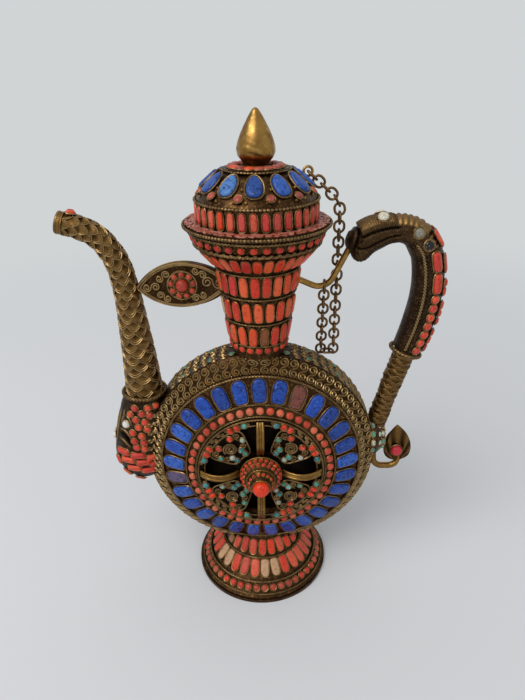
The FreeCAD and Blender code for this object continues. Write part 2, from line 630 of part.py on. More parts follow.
def strut_pieces():
    """The leaf that ties the spout to the neck, with a rosette on each side."""
    tip, top, root_top, root_low, low, centre = [V(x, -STRUT_HALF, z) for x, z in STRUT]
    outline = Part.Wire([Part.Arc(tip, top, root_top).toShape(), Part.makeLine(root_top, root_low),
                         Part.Arc(root_low, low, tip).toShape()])
    leaf = Part.Face(outline).extrude(V(0, 2 * STRUT_HALF, 0)).cut(SPOUT_BODY).cut(NECK_BODY)
    rings = Slope(STAND, NECK_LINE[1], NECK_LINE[2])
    for share in NECK_WIRES:
        leaf = leaf.cut(rings.wire(share * rings.length, FINE_WIRE + SEAT))
    leaf = max(leaf.Solids, key=lambda solid: solid.Volume)
    stones = []
    for side in (-1, 1):
        rose = Lathe(V(centre.x, side * (STRUT_HALF + SEAT), centre.z), V(0, side, 0), V(0, 0, 1))
        stones.append(seat(bead(STRUT_CORAL), rose.origin, rose.side, rose.zero * -1, rose.axis))
        count = int(2 * math.pi * STRUT_BEAD_RING / (2 * STRUT_BEAD + 1.4))
        for step in range(count):
            place = rose.point(360.0 * step / count, STRUT_BEAD_RING, 0)
            stones.append(seat(bead(STRUT_BEAD), place, rose.side, rose.zero * -1, rose.axis))
    return {"strut_leaf": leaf, "strut_corals": stones}


def grip_frame(distance):
    """Middle, run and outward direction of the grip at a distance below its top section."""
    points = [V(s[0], 0, s[1]) for s in (DRAGON[-1],) + GRIP]
    for start, end in zip(points, points[1:]):
        length = (end - start).Length
        if distance <= length:
            break
        distance -= length
    run = unit(end - start)
    return start + run * distance, run, V(0, 1, 0).cross(run) * -1


def handle_pieces():
    """Handle: dragon head, hollow grip, ring, sleeve, root boss and the stones on them."""
    first = len(DRAGON) - 1
    last = len(DRAGON) + len(GRIP) - 1
    head = loft(HANDLE[:first + 1], HANDLE_RUN[:first + 1])
    grip_body = loft(HANDLE[first:last + 1], HANDLE_RUN[first:last + 1])
    grip = grip_body.cut(loft(HANDLE[first:last + 1], HANDLE_RUN[first:last + 1], GRIP_WALL))
    root_axis = Lathe(V(0, 0, ROOT_HEIGHT), V(1, 0, 0), V(0, 0, 1))
    start = BAND_RADIUS - 25
    root = root_axis.turned([(0, start), (ROOT_RADIUS, start), (ROOT_RADIUS, ROOT_SHOULDER),
                             (ROOT_NOSE_RADIUS, ROOT_REACH), (0, ROOT_REACH)]).cut(FLASK)
    top_x, top_z, top_radius = HANDLE[last]
    neck = (top_x, top_z, SLEEVE[0][2] + 0.6)
    sleeve = loft((neck,) + SLEEVE, HANDLE_RUN[last:]).cut(root).cut(FLASK)
    run = HANDLE_RUN[last]
    ring = Part.makeTorus(neck[2] + GRIP_RING_WIRE + 0.25, GRIP_RING_WIRE,
                          V(top_x, 0, top_z) + run * (GRIP_RING_WIRE + SEAT), run)
    corals = []
    for turn in (-GRIP_SPREAD, GRIP_SPREAD):
        places = [(distance, tablet(GRIP_TABLET)) for distance in GRIP_TABLET_PLACES]
        rows = [GRIP_BEAD_START + GRIP_BEAD_PITCH * step for step in range(GRIP_BEAD_ROWS)]
        places += [(distance, bead(GRIP_BEAD)) for distance in rows]
        for distance, stone in places:
            middle, along, out = grip_frame(distance)
            angle = math.radians(turn)
            probe = middle + (out * math.cos(angle) + V(0, math.sin(angle), 0)) * 25
            corals.append(seat_on(grip_body, stone, probe, along))
    stones = []
    for side in (-1, 1):
        stones += pressed(head, bead(DRAGON_STONE), BROW_PLACES, side * BROW_REACH, V(1, 0, 0))
        stones += pressed(head, bead(DRAGON_STONE), MANE_PLACES, side * MANE_REACH, V(1, 0, 0))
    return {"handle_head": head, "handle_grip": grip, "handle_ring": ring, "handle_sleeve": sleeve,
            "handle_root": root, "handle_corals": corals, "handle_stones": stones}


def rod_and_tail(handle):
    """Wire rod into the dragon's mouth, and the tail scroll with its shell leaf."""
    brace = rod(ROD, ROD_BEND, ROD_RADIUS).cut(NECK_BODY).cut(handle["handle_head"])
    brace = max(brace.Solids, key=lambda solid: solid.Volume)
    along = V(LEAF_TIP[0] - LEAF_FOOT[0], 0, LEAF_TIP[1] - LEAF_FOOT[1])
    middle = V((LEAF_TIP[0] + LEAF_FOOT[0]) / 2, LEAF_HALF, (LEAF_TIP[1] + LEAF_FOOT[1]) / 2)
    up = unit(along)
    block = egg_face(along.Length, LEAF_BROAD, LEAF_POINT).extrude(V(0, 0, 2 * LEAF_HALF))
    block = block.makeFillet(0.4 * LEAF_HALF, [edge for edge in block.Edges if edge.BoundBox.ZLength < 0.001])
    leaf = seat(block, middle, up.cross(V(0, -1, 0)), up, V(0, -1, 0))
    scroll = rod(TAIL, TAIL_BEND, TAIL_RADIUS)
    scroll = scroll.cut(handle["handle_root"]).cut(handle["handle_sleeve"]).cut(leaf).cut(FLASK)
    scroll = max(scroll.Solids, key=lambda solid: solid.Volume)
    place = V(LEAF_FOOT[0], 0, LEAF_FOOT[1]) + up * LEAF_BROAD
    corals = [seat(bead(LEAF_CORAL), place + V(0, side * (LEAF_HALF + SEAT), 0), V(-side, 0, 0), V(0, 0, 1),
                   V(0, side, 0)) for side in (-1, 1)]
    return {"handle_rod": brace, "tail_leaf": leaf, "tail_scroll": scroll, "tail_corals": corals}


def dome_face(thickness):
    """The cut through the domed sheet: two arcs with one centre, from the wall to the top disc."""
    low = V(LID_WALL_RADIUS, 0, WALL_TOP)
    high = V(DOME_TOP_RADIUS, 0, DOME_TOP)
    chord = high - low
    out = unit(V(chord.z, 0, -chord.x))
    radius = (chord.Length ** 2 / 4 + DOME_BULGE ** 2) / (2 * DOME_BULGE)
    centre = (low + high) * 0.5 + out * (DOME_BULGE - radius)
    angles = [math.atan2(p.z - centre.z, p.x - centre.x) for p in (low, high)]
    middle = sum(angles) / 2

    def on(angle, r):
        return centre + V(math.cos(angle), 0, math.sin(angle)) * r

    inside = radius - thickness
    edges = [Part.Arc(low, on(middle, radius), high).toShape(),
             Part.makeLine(high, on(angles[1], inside)),
             Part.Arc(on(angles[1], inside), on(middle, inside), on(angles[0], inside)).toShape(),
             Part.makeLine(on(angles[0], inside), low)]
    return Part.Face(Part.Wire(edges))


def lid_pieces():
    """Lid: plug ring, flange, wall, dome, top disc and the finial with its shank."""
    wall_inner = LID_WALL_RADIUS - SHEET
    plug_outer = FUNNEL_RADIUS - SHEET - PLUG_CLEARANCE
    plug_inner = plug_outer - PLUG_WALL
    plug = STAND.turned([(plug_inner, MOUTH_HEIGHT - PLUG_DEPTH), (plug_outer, MOUTH_HEIGHT - PLUG_DEPTH),
                         (plug_outer, MOUTH_HEIGHT), (plug_inner, MOUTH_HEIGHT)])
    flange = STAND.turned([(FLANGE_INNER, MOUTH_HEIGHT), (FLANGE_RADIUS, MOUTH_HEIGHT),
                           (FLANGE_RADIUS, FLANGE_TOP), (FLANGE_INNER, FLANGE_TOP)])
    room = V(0, 0, 0)
    dome = solid_of(dome_face(SHEET).revolve(room, V(0, 0, 1), 360))
    wall = STAND.turned([(wall_inner, FLANGE_TOP), (LID_WALL_RADIUS, FLANGE_TOP), (LID_WALL_RADIUS, WALL_TOP),
                         (wall_inner, WALL_TOP)]).cut(dome)
    hole = SHANK_RADIUS + SHANK_CLEARANCE
    disc = STAND.turned([(hole, DOME_TOP), (DISC_RADIUS, DOME_TOP), (DISC_RADIUS, DISC_TOP), (hole, DISC_TOP)])
    widest = DISC_TOP + FINIAL_BULB
    tip = DISC_TOP + FINIAL_HEIGHT
    corners = [V(0, 0, DISC_TOP - SHANK_LENGTH), V(SHANK_RADIUS, 0, DISC_TOP - SHANK_LENGTH),
               V(SHANK_RADIUS, 0, DISC_TOP), V(FINIAL_FOOT, 0, DISC_TOP)]
    belly = V(FINIAL_RADIUS, 0, widest)
    point = V(FINIAL_TIP, 0, tip - FINIAL_TIP)
    edges = [Part.makeLine(a, b) for a, b in zip(corners, corners[1:])]
    flank = V(0.96 * FINIAL_RADIUS, 0, DISC_TOP + 0.45 * FINIAL_BULB)
    edges.append(Part.Arc(corners[-1], flank, belly).toShape())
    edges.append(Part.Arc(belly, (belly + point) * 0.5 + V(0.7, 0, 0.5), point).toShape())
    slant = math.sqrt(0.5) * FINIAL_TIP
    edges.append(Part.Arc(point, V(slant, 0, tip - FINIAL_TIP + slant), V(0, 0, tip)).toShape())
    edges.append(Part.makeLine(V(0, 0, tip), corners[0]))
    finial = solid_of(Part.Face(Part.Wire(edges)).revolve(room, V(0, 0, 1), 360))
    return {"lid_plug": plug, "lid_flange": flange, "lid_wall": wall, "lid_dome": dome, "lid_disc": disc,
            "lid_finial": finial}


def dome_slope():
    """The straight line that touches the dome half-way up."""
    slope = Slope(STAND, (LID_WALL_RADIUS, WALL_TOP), (DOME_TOP_RADIUS, DOME_TOP))
    return Slope(STAND, slope.at(0, DOME_BULGE), slope.at(slope.length, DOME_BULGE))


def eyelet_place():
    """Where the eyelet stands on the dome: the slope, the distance along it, its angle, the middle of its ring."""
    slope = dome_slope()
    along = (LID_WALL_RADIUS - EYELET_RADIUS) / (LID_WALL_RADIUS - DOME_TOP_RADIUS) * slope.length
    radius, height = slope.at(along, EYELET_LIFT + EYELET_HOLE + LINK_WIRE + SEAT)
    angle = math.degrees(math.asin(CHAIN_DEPTH / radius))
    return slope, along, angle, STAND.point(angle, radius, height)


def drape_run():
    """Direction of the links that lie on the dome."""
    lean = math.radians(DRAPE_LEAN)
    return V(math.cos(lean), 0, math.sin(lean))


def lid_trim():
    """Ring wires, tablets, lapis petals and beads of the lid, and the eyelet of the chain."""
    wall = Slope(STAND, (LID_WALL_RADIUS, FLANGE_TOP), (LID_WALL_RADIUS, WALL_TOP))
    edge = Slope(STAND, (FLANGE_RADIUS, MOUTH_HEIGHT), (FLANGE_RADIUS, FLANGE_TOP))
    rim = Slope(STAND, (DISC_RADIUS, DOME_TOP), (DISC_RADIUS, DISC_TOP))
    wires = [edge.wire(edge.length / 2, WIRE), wall.wire(wall.length - 0.6, WIRE), rim.wire(0.7, FINE_WIRE)]
    middle = wall.length / 2 - 0.6
    tablets = wall.row(tablet(LID_TABLET), middle, wall.count(middle, 2 * LID_TABLET[2], LID_TABLET_SPACE))
    slope, along, angle, middle = eyelet_place()
    step = 360.0 / LID_LAPIS_COUNT
    first = angle + step / 2
    lapis = slope.row(tablet(LID_LAPIS), slope.length * 0.54, LID_LAPIS_COUNT, first)
    low = slope.length * 0.19
    small = slope.row(bead(LID_BEAD), low, LID_LAPIS_COUNT, angle + step,
                      lambda turn: abs((turn - angle + 180) % 360 - 180) > 1)
    top = Slope(STAND, (DISC_RADIUS, DISC_TOP), (0, DISC_TOP))
    inward = DISC_RADIUS - FINIAL_RADIUS - DISC_BEAD - 0.6
    beads = top.row(bead(DISC_BEAD), inward, top.count(inward, 2 * DISC_BEAD, 0.7))
    post = Part.makeCylinder(1.1, EYELET_LIFT + 0.5)
    loop = EYELET_HOLE + LINK_WIRE
    ring = Part.makeTorus(loop, LINK_WIRE, V(0, 0, EYELET_LIFT + loop), V(1, 0, 0))
    base = STAND.point(angle, *slope.at(along, SEAT))
    normal = unit(middle - base)
    across = unit(drape_run().cross(normal))
    eyelet = seat(solid_of(post.fuse(ring)), base, across, normal.cross(across), normal)
    return {"lid_wires": wires, "lid_tablets": tablets, "lid_lapis": lapis, "lid_beads": small + beads,
            "lid_eyelet": eyelet}


def link(straight):
    """A chain link about the origin: flat in XY, with its length along Y."""
    half = straight / 2
    top = Part.makeTorus(LINK_BEND, LINK_WIRE, V(0, half, 0), V(0, 0, 1), -180, 180, 180)
    low = Part.makeTorus(LINK_BEND, LINK_WIRE, V(0, -half, 0), V(0, 0, 1), -180, 180, 180)
    low.rotate(V(0, -half, 0), V(0, 0, 1), 180)
    shape = top.fuse(low)
    for x in (-LINK_BEND, LINK_BEND):
        shape = shape.fuse(Part.makeCylinder(LINK_WIRE, straight, V(x, -half, 0), V(0, 1, 0)))
    return solid_of(shape.removeSplitter())


def lay_link(shape, middle, run, turned):
    """A link at a place on the chain; every second link is turned by a quarter."""
    side = unit(V(0, 1, 0) - run * run.y)
    other = side.cross(run)
    if turned:
        return seat(shape, middle, other, run, other.cross(run))
    return seat(shape, middle, side, run, side.cross(run))


def chain_pieces():
    """Chain: links on the lid, groups that hang, the turn at the bottom, groups that go back up to the rod."""
    shape = link(LINK_STRAIGHT)
    loose = LINK_PITCH - LINK_SLACK
    grab = LINK_BEND + LINK_STRAIGHT / 2 - 2 * LINK_WIRE - LINK_GAP
    down = V(0, 0, -1)
    low = BIGHT_HEIGHT + grab
    pieces = {}
    height = low
    turned = False
    for group in range(FALL_GROUPS, 0, -1):
        links = []
        for step in range(FALL_LINKS):
            links.append(lay_link(shape, V(CHAIN_X, CHAIN_DEPTH, height), down, not turned))
            turned = not turned
            height += LINK_PITCH if step < FALL_LINKS - 1 else loose
        pieces["chain_fall_%d" % group] = links
    pieces["chain_drape"] = drape(shape, height, turned)
    bight = BIGHT_STRAIGHT / 2 + LINK_BEND
    pieces["chain_bight"] = lay_link(link(BIGHT_STRAIGHT), V(CHAIN_X - bight, CHAIN_DEPTH, BIGHT_HEIGHT),
                                     V(1, 0, 0), False)
    pieces.update(chain_return(shape, V(CHAIN_X - 2 * bight, CHAIN_DEPTH, low)))
    return pieces


def chain_return(shape, start):
    """Groups of links from the turn up to the ring on the rod; the uppermost ones hang still."""
    ring = V(start.x, 0, rod_at(start.x) + ROD_RADIUS + RING_PLAY + LINK_WIRE - LINK_BEND - BIGHT_STRAIGHT / 2)
    end = ring - V(0, 0, (BIGHT_STRAIGHT - LINK_STRAIGHT) / 2)
    run = unit(end - start)
    moving = RETURN_GROUPS * RETURN_LINKS
    tight = RETURN_GROUPS + 1
    count = moving + FIXED_LINKS
    loose = ((end - start).Length - tight * LINK_PITCH) / (count - tight)
    links = []
    place = start
    for number in range(count):
        links.append(lay_link(shape, place, run, number % 2 == 0))
        last_of_group = (number + 1) % RETURN_LINKS == 0
        place = place + run * (LINK_PITCH if last_of_group else loose)
    links.append(lay_link(link(BIGHT_STRAIGHT), ring, V(0, 0, 1), count % 2 == 0))
    pieces = {"chain_anchor": links[moving:]}
    for group in range(RETURN_GROUPS):
        pieces["chain_return_%d" % (group + 1)] = links[group * RETURN_LINKS:(group + 1) * RETURN_LINKS]
    return pieces


def rod_at(x):
    """Height of the middle of the rod at a place along X."""
    line = Part.makeLine(V(x, 0, ROD[1][1] - 20), V(x, 0, ROD[0][1] + 40))
    return rounded_path(ROD, ROD_BEND).distToShape(line)[1][0][0].z


def drape(shape, height, turned):
    """Links from the hanging run up over the flange and the wall to the eyelet on the dome."""
    run = drape_run()
    goal = eyelet_place()[3] - V(0, CHAIN_DEPTH, 0) - run * (LINK_BEND + LINK_STRAIGHT / 2)
    corner = goal - run * ((goal.x - CHAIN_X) / run.x)
    path = rounded_path(((CHAIN_X, height), (corner.x, corner.z), (goal.x, goal.z)), DRAPE_BEND)
    steps = math.ceil(path.Length / LINK_PITCH)
    if (steps % 2 == 0) != turned:
        steps += 1
    places = path.discretize(Number=steps + 1)
    links = []
    for number, place in enumerate(places):
        before = places[max(number - 1, 0)]
        after = places[min(number + 1, steps)]
        links.append(lay_link(shape, place + V(0, CHAIN_DEPTH, 0), unit(before - after), not turned))
        turned = not turned
    return links


def gather(pieces):
    """Every piece as one shape: a group of stones or wires becomes one compound."""
    shapes = {}
    for name, shape in pieces.items():
        shapes[name] = Part.makeCompound(shape) if isinstance(shape, list) else solid_of(shape)
    return shapes


def build():
    """All pieces of the ewer by name."""
    pieces = {}
    pieces.update(foot_pieces())
    pieces.update(flask_pieces())
    pieces.update(medallion_pieces())
    pieces.update(neck_pieces())
    pieces.update(spout_pieces())
    pieces.update(strut_pieces())
    handle = handle_pieces()
    pieces.update(handle)
    pieces.update(rod_and_tail(handle))
    pieces.update(lid_pieces())
    pieces.update(lid_trim())
    pieces.update(chain_pieces())
    return gather(pieces)


os.makedirs("parts", exist_ok=True)
for node, part in build().items():
    part.exportStep("parts/%s.step" % node)
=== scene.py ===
"""Looks of a jewelled flask ewer, laid out as an add-on.

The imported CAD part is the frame. Stones, settings, twisted wires, filigree, carved heads and metals are
built round it. Surfaces are computed in millimetres as whole arrays and put into meshes in metres.
"""

import json
import math

import bpy
import numpy as np
from bpy.props import FloatProperty, FloatVectorProperty, PointerProperty
from mathutils import Matrix


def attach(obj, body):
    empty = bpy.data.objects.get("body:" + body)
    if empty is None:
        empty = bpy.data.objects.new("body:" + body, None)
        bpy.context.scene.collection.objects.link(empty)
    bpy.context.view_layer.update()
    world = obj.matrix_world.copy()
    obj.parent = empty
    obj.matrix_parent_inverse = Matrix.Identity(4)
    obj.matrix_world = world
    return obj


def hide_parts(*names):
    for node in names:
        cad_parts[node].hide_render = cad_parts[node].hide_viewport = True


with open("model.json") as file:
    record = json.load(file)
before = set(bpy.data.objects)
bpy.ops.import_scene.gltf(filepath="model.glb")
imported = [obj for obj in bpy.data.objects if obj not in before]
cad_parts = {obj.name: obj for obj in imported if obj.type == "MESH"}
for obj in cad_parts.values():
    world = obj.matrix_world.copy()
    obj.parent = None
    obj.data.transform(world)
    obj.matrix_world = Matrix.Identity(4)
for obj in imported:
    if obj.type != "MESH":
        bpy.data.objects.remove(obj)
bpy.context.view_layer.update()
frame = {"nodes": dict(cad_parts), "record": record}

bl_info = {
    "name": "Jewelled flask ewer",
    "version": (1, 0, 0),
    "blender": (4, 5, 0),
    "location": "View3D > Sidebar > Ewer",
    "description": "Dresses a flask ewer with set stones, filigree, twisted wires and carved heads",
    "category": "Add Mesh",
}

METRE = 0.001               # metres in a millimetre
FULL = 2 * math.pi
SHARP_EDGE = 50.0           # degrees past which an edge is not smoothed


def linear(code):
    """Linear red, green and blue of an sRGB hex colour."""
    parts = [int(code[i:i + 2], 16) / 255 for i in (1, 3, 5)]
    return tuple(p / 12.92 if p <= 0.04045 else ((p + 0.055) / 1.055) ** 2.4 for p in parts)


def length(name, description, default):
    """A length property; the default is in millimetres."""
    return FloatProperty(name=name, description=description, default=default * METRE, unit="LENGTH",
                         precision=5)


def colour(name, description, code):
    """A colour property; the default is an sRGB hex colour."""
    return FloatVectorProperty(name=name, description=description, default=linear(code), subtype="COLOR",
                               size=3)


class EwerSizes(bpy.types.PropertyGroup):
    """Sizes of the worked wire and of the trim."""

    rope_pitch: length("Rope pitch", "From crest to crest along a twisted wire", 1.9)
    setting_wire: length("Setting wire", "Radius of the wire round a stone", 0.36)
    scroll_wire: length("Scroll wire", "Radius of the filigree wire", 0.5)
    granule: length("Granule", "Radius of a solder granule", 0.55)
    scale_row: length("Scale row", "From row to row of the scales on the spout", 4.4)
    scale_wire: length("Scale wire", "Radius of the wires along the scales' edges", 0.36)


class EwerColours(bpy.types.PropertyGroup):
    """Colours of the metals and of the stage, as they are in even light. The metals' dark colours are also
    painted into grooves and recesses as shade.
    """

    # sheet_dark is also painted shade under the scales' edges, inside the spout and in the leaf's grooves.
    sheet_dark: colour("Sheet, hollows", "Grime in the hollows of the beaten sheet", "#140c07")
    sheet: colour("Sheet", "Worn gilt brass", "#4c3420")
    sheet_light: colour("Sheet, rubbed", "Rubbed places on the sheet", "#946f3c")
    # wire_dark is painted shade between the strands of twisted wire, and darker tarnish patches.
    wire_dark: colour("Wire, grooves", "Grime between the strands", "#24160c")
    wire: colour("Wire", "Gilt wire", "#94744c")
    wire_light: colour("Wire, crests", "Rubbed crests of the wire", "#cdb078")
    # bronze_dark is also painted shade in the heads' sunken places, the mouth, the grip's inner side and the
    # medallion's recess floor.
    bronze_dark: colour("Bronze, hollows", "Hollows of the carved heads", "#15100c")
    bronze: colour("Bronze", "Brown patina", "#3d2c20")
    bronze_light: colour("Bronze, rubbed", "Rubbed patina", "#8c6c42")
    # bright_dark is also painted shade between the boss ropes' strands and on the finial's foot.
    bright_dark: colour("Bright brass, stains", "Stains on the finial", "#5a3c1c")
    bright: colour("Bright brass", "Hand-rubbed brass", "#a37d42")
    bright_light: colour("Bright brass, high", "Polished brass", "#c9a662")
    chain_dark: colour("Chain, hollows", "Tarnish between the links", "#3a2617")
    chain: colour("Chain", "Drawn brass wire", "#7d5f3d")
    chain_light: colour("Chain, rubbed", "Rubbed wire", "#a98a5e")
    floor: colour("Floor", "Pale floor", "#dcddde")
    sky: colour("Backdrop", "Pale backdrop", "#d0d4d5")


def size_mm(name):
    """One of the scene's sizes in millimetres."""
    return getattr(bpy.context.scene.ewer_sizes, name) / METRE


def unit(vectors):
    """Vectors of length one in the same directions."""
    return vectors / np.linalg.norm(vectors, axis=-1, keepdims=True)


def ring_turns(steps, start=0.0):
    """Angles evenly round a ring; the start is a share of a step."""
    return (np.arange(steps) + start) * FULL / steps


def fade(value, low, high):
    """From 0 below low to 1 above high, smoothly."""
    t = np.clip((value - low) / (high - low), 0, 1)
    return t * t * (3 - 2 * t)


def bump(value, middle, width):
    """A smooth hill of height one."""
    return np.exp(-((value - middle) / width) ** 2)


def signed_power(value, power):
    """A power of the value's size, with the value's sign."""
    return np.sign(value) * np.abs(value) ** power


def smooth(table, at):
    """Rows of a table at places counted in rows, on a smooth curve through them."""
    table = np.asarray(table, float)
    table = np.concatenate([2 * table[:1] - table[1:2], table, 2 * table[-1:] - table[-2:-1]])
    at = np.clip(np.asarray(at, float), 0, len(table) - 3)
    row = np.minimum(at.astype(int), len(table) - 4)
    t = (at - row)[..., None]
    a, b, c, d = (table[row + k] for k in range(4))
    return b + t / 2 * (c - a + t * (2 * a - 5 * b + 4 * c - d + t * (3 * (b - c) + d - a)))


def quads(rows, cols, loop):
    """Corner numbers of the quads of a grid that is closed along its columns, and its rows if loop."""
    r, c = np.meshgrid(np.arange(rows if loop else rows - 1), np.arange(cols), indexing="ij")
    r_next, c_next = (r + 1) % rows, (c + 1) % cols
    corners = [r * cols + c, r * cols + c_next, r_next * cols + c_next, r_next * cols + c]
    return np.stack(corners, -1).reshape(-1, 4)


def skin(points, loop=False):
    """Closed skins over points[body, row, column]: rings of columns joined row to row, with a flat cap at
    each end unless the rows loop."""
    points = np.asarray(points, float)
    count, rows, cols = points.shape[:3]
    faces = [quads(rows, cols, loop)]
    if not loop:
        ring = np.arange(cols)[None]
        faces += [ring[:, ::-1], ring + (rows - 1) * cols]
    first = np.arange(count)[:, None, None] * (rows * cols)
    return points.reshape(-1, 3), [(f[None] + first).reshape(-1, f.shape[1]) for f in faces]


def tube(paths, normals, radius, sides=5, loop=False):
    """Wires along paths[wire, point]: a ring of points round every path point, laid out from the path's run
    and the normal of the surface below it. The radius may change along the wire and round it."""
    paths = np.asarray(paths, float)
    run = np.roll(paths, -1, 1) - np.roll(paths, 1, 1) if loop else np.gradient(paths, axis=1)
    run = unit(run)
    side = unit(np.cross(run, normals))
    up = np.cross(side, run)
    turn = ring_turns(sides)
    around = np.cos(turn)[:, None] * side[:, :, None] + np.sin(turn)[:, None] * up[:, :, None]
    radius = np.asarray(radius, float)
    if radius.ndim == 3:
        radius = radius[..., None]
    else:
        radius = np.broadcast_to(radius, paths.shape[:2])[..., None, None]
    return skin(paths[:, :, None] + radius * around, loop)


def put(name, data):
    """A new object in the scene."""
    made = bpy.data.objects.new(name, data)
    bpy.context.scene.collection.objects.link(made)
    return made


class Shape:
    """Points and faces of one piece, gathered part by part."""

    def __init__(self):
        self.points, self.faces, self.tints, self.hollows, self.count = [], [], [], [], 0

    def add(self, made, tint=0.0, shade_and_grime=0.0):
        """Adds skins, turned so that their faces look outward. The tint is a stone's colour or how far a
        metal is rubbed bright; shade_and_grime is how far it is darkened, by painted shade in its grooves and
        recesses and by grime. Both are per point or for all."""
        points, faces = made
        a, b, c = (points[faces[0][:, k]] for k in range(3))
        volume = np.einsum("ij,ij->", a - points.mean(0), np.cross(b - a, c - a))
        self.faces += [(f[:, ::-1] if volume < 0 else f) + self.count for f in faces]
        self.points.append(points)
        self.tints.append(np.broadcast_to(np.asarray(tint, float), (len(points), 3)))
        self.hollows.append(np.broadcast_to(np.asarray(shade_and_grime, float), (len(points),)))
        self.count += len(points)
        return self

    def add_stones(self, seats, tint, worn=0.0, **cut):
        """Adds cut stones, each with its own tint, and with its own share of grime where worn gives one."""
        made = stones(seats, **cut)
        each = len(made[0]) // len(tint)
        worn = np.broadcast_to(worn, (len(tint),))
        return self.add(made, np.repeat(tint, each, 0), np.repeat(worn, each))

    def add_rope(self, *ring):
        """Adds a ring of twisted wire with painted shade between its crests."""
        made, shade_and_grime = ropes(*ring)
        return self.add(made, shade_and_grime=shade_and_grime)

    def piece(self, name, body, slot, nodes=()):
        """Makes the mesh object, lets it ride on its body and stand for its CAD nodes."""
        mesh = bpy.data.meshes.new(name)
        mesh.vertices.add(self.count)
        points = np.concatenate(self.points) * METRE
        mesh.vertices.foreach_set("co", points.astype(np.float32).ravel())
        corners = np.concatenate([f.ravel() for f in self.faces]).astype(np.int32)
        sizes = np.concatenate([np.full(len(f), f.shape[1]) for f in self.faces])
        starts = np.concatenate([[0], np.cumsum(sizes)[:-1]]).astype(np.int32)
        mesh.loops.add(len(corners))
        mesh.loops.foreach_set("vertex_index", corners)
        mesh.polygons.add(len(sizes))
        mesh.polygons.foreach_set("loop_start", starts)
        mesh.polygons.foreach_set("use_smooth", np.full(len(sizes), True))
        mesh.update(calc_edges=True)
        mesh.set_sharp_from_angle(angle=math.radians(SHARP_EDGE))
        tint = mesh.attributes.new("tint", "FLOAT_COLOR", "POINT")
        tints = np.pad(np.concatenate(self.tints), ((0, 0), (0, 1)), constant_values=1)
        tint.data.foreach_set("color", tints.astype(np.float32).ravel())
        shade_and_grime = mesh.attributes.new("shade_and_grime", "FLOAT", "POINT")
        shade_and_grime.data.foreach_set("value", np.concatenate(self.hollows).astype(np.float32))
        mesh.materials.append(material(slot))
        made = put(name, mesh)
        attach(made, body)
        if nodes:
            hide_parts(*nodes)
        return made


class Lathe:
    """A turning axis; angles start at its zero direction and turn towards its side."""

    def __init__(self, origin, axis, zero):
        self.origin, self.axis, self.zero = (np.array(v, float) for v in (origin, axis, zero))
        self.side = np.cross(self.axis, self.zero)

    def out(self, turn):
        """Directions away from the axis at angles in radians."""
        turn = np.asarray(turn, float)[..., None]
        return np.cos(turn) * self.zero + np.sin(turn) * self.side

    def at(self, turn, radius, height):
        """Points at angles, radii and heights along the axis."""
        radius, height = np.asarray(radius, float)[..., None], np.asarray(height, float)[..., None]
        return self.origin + self.out(turn) * radius + self.axis * height


class Cone:
    """A straight stretch of a turned outline, from (radius, height) to (radius, height), with its outside
    normal."""

    def __init__(self, lathe, start, end):
        self.lathe = lathe
        self.start = np.array(start, float)
        self.length = math.dist(start, end)
        self.run = (np.array(end, float) - self.start) / self.length
        self.middle = (start[0] + end[0]) / 2

    def at(self, turn, along, lift=0.0):
        """Points on the stretch at angles, distances along it and lifts off it."""
        along, lift = np.asarray(along, float), np.asarray(lift, float)
        radius = self.start[0] + self.run[0] * along + self.run[1] * lift
        height = self.start[1] + self.run[1] * along - self.run[0] * lift
        return self.lathe.at(turn, radius, height)

    def normal(self, turn):
        """Directions off the stretch at angles."""
        return self.lathe.out(turn) * self.run[1] - self.lathe.axis * self.run[0]

    def wrap(self, flat, lift):
        """Plane points (across in millimetres at the stretch's middle, along it) laid on the stretch, and
        normals."""
        turn = flat[..., 0] / self.middle
        return self.at(turn, flat[..., 1], lift), self.normal(turn)

    def seats(self, turn, along, size, lift=0.0):
        """Seats on the stretch at angles and distances along it; across runs round the axis."""
        out = self.normal(turn)
        across = np.cross(self.lathe.axis, self.lathe.out(turn))
        return Seats(self.at(turn, along, lift), across, np.cross(out, across), out,
                     np.broadcast_to(size, out.shape))


FLASK_HEIGHT = 96.0
STAND = Lathe((0, 0, 0), (0, 0, 1), (1, 0, 0))
FRONT = Lathe((0, 0, FLASK_HEIGHT), (0, -1, 0), (0, 0, 1))
BACK = Lathe((0, 0, FLASK_HEIGHT), (0, 1, 0), (0, 0, 1))
FACES = (FRONT, BACK)


class Seats:
    """Where stones sit: the middle of each flat seat, its directions across, along and out, and (width,
    length, height) of the stone."""

    def __init__(self, origin, across, along, out, size):
        self.origin, self.across, self.along, self.out, self.size = origin, across, along, out, size

    def pick(self, choice):
        """Some of the seats."""
        return Seats(*(v[choice] for v in vars(self).values()))

    def lay(self, local):
        """Points local[seat, ..., (across, along, out)] in the part's frame."""
        shape = (len(self.origin),) + (1,) * (local.ndim - 2) + (3,)
        made = self.origin.reshape(shape)
        for k, way in enumerate((self.across, self.along, self.out)):
            made = made + local[..., k:k + 1] * way.reshape(shape)
        return made

    def near(self, point):
        """Number of the seat nearest to a point."""
        return int(np.argmin(np.linalg.norm(self.origin - np.array(point, float), axis=1)))

    def facing(self, target):
        """The same seats with their along direction turned to point towards a target."""
        reach = np.array(target, float) - self.origin
        sign = np.sign(np.einsum("ij,ij->i", self.along, reach))[:, None]
        return Seats(self.origin, self.across * sign, self.along * sign, self.out, self.size)

    def join(self, other):
        """These seats and others."""
        pairs = zip(vars(self).values(), vars(other).values())
        return Seats(*(np.concatenate([mine, its]) for mine, its in pairs))


FAR = 1e9                   # farther than any point, to start a search for the least and the most


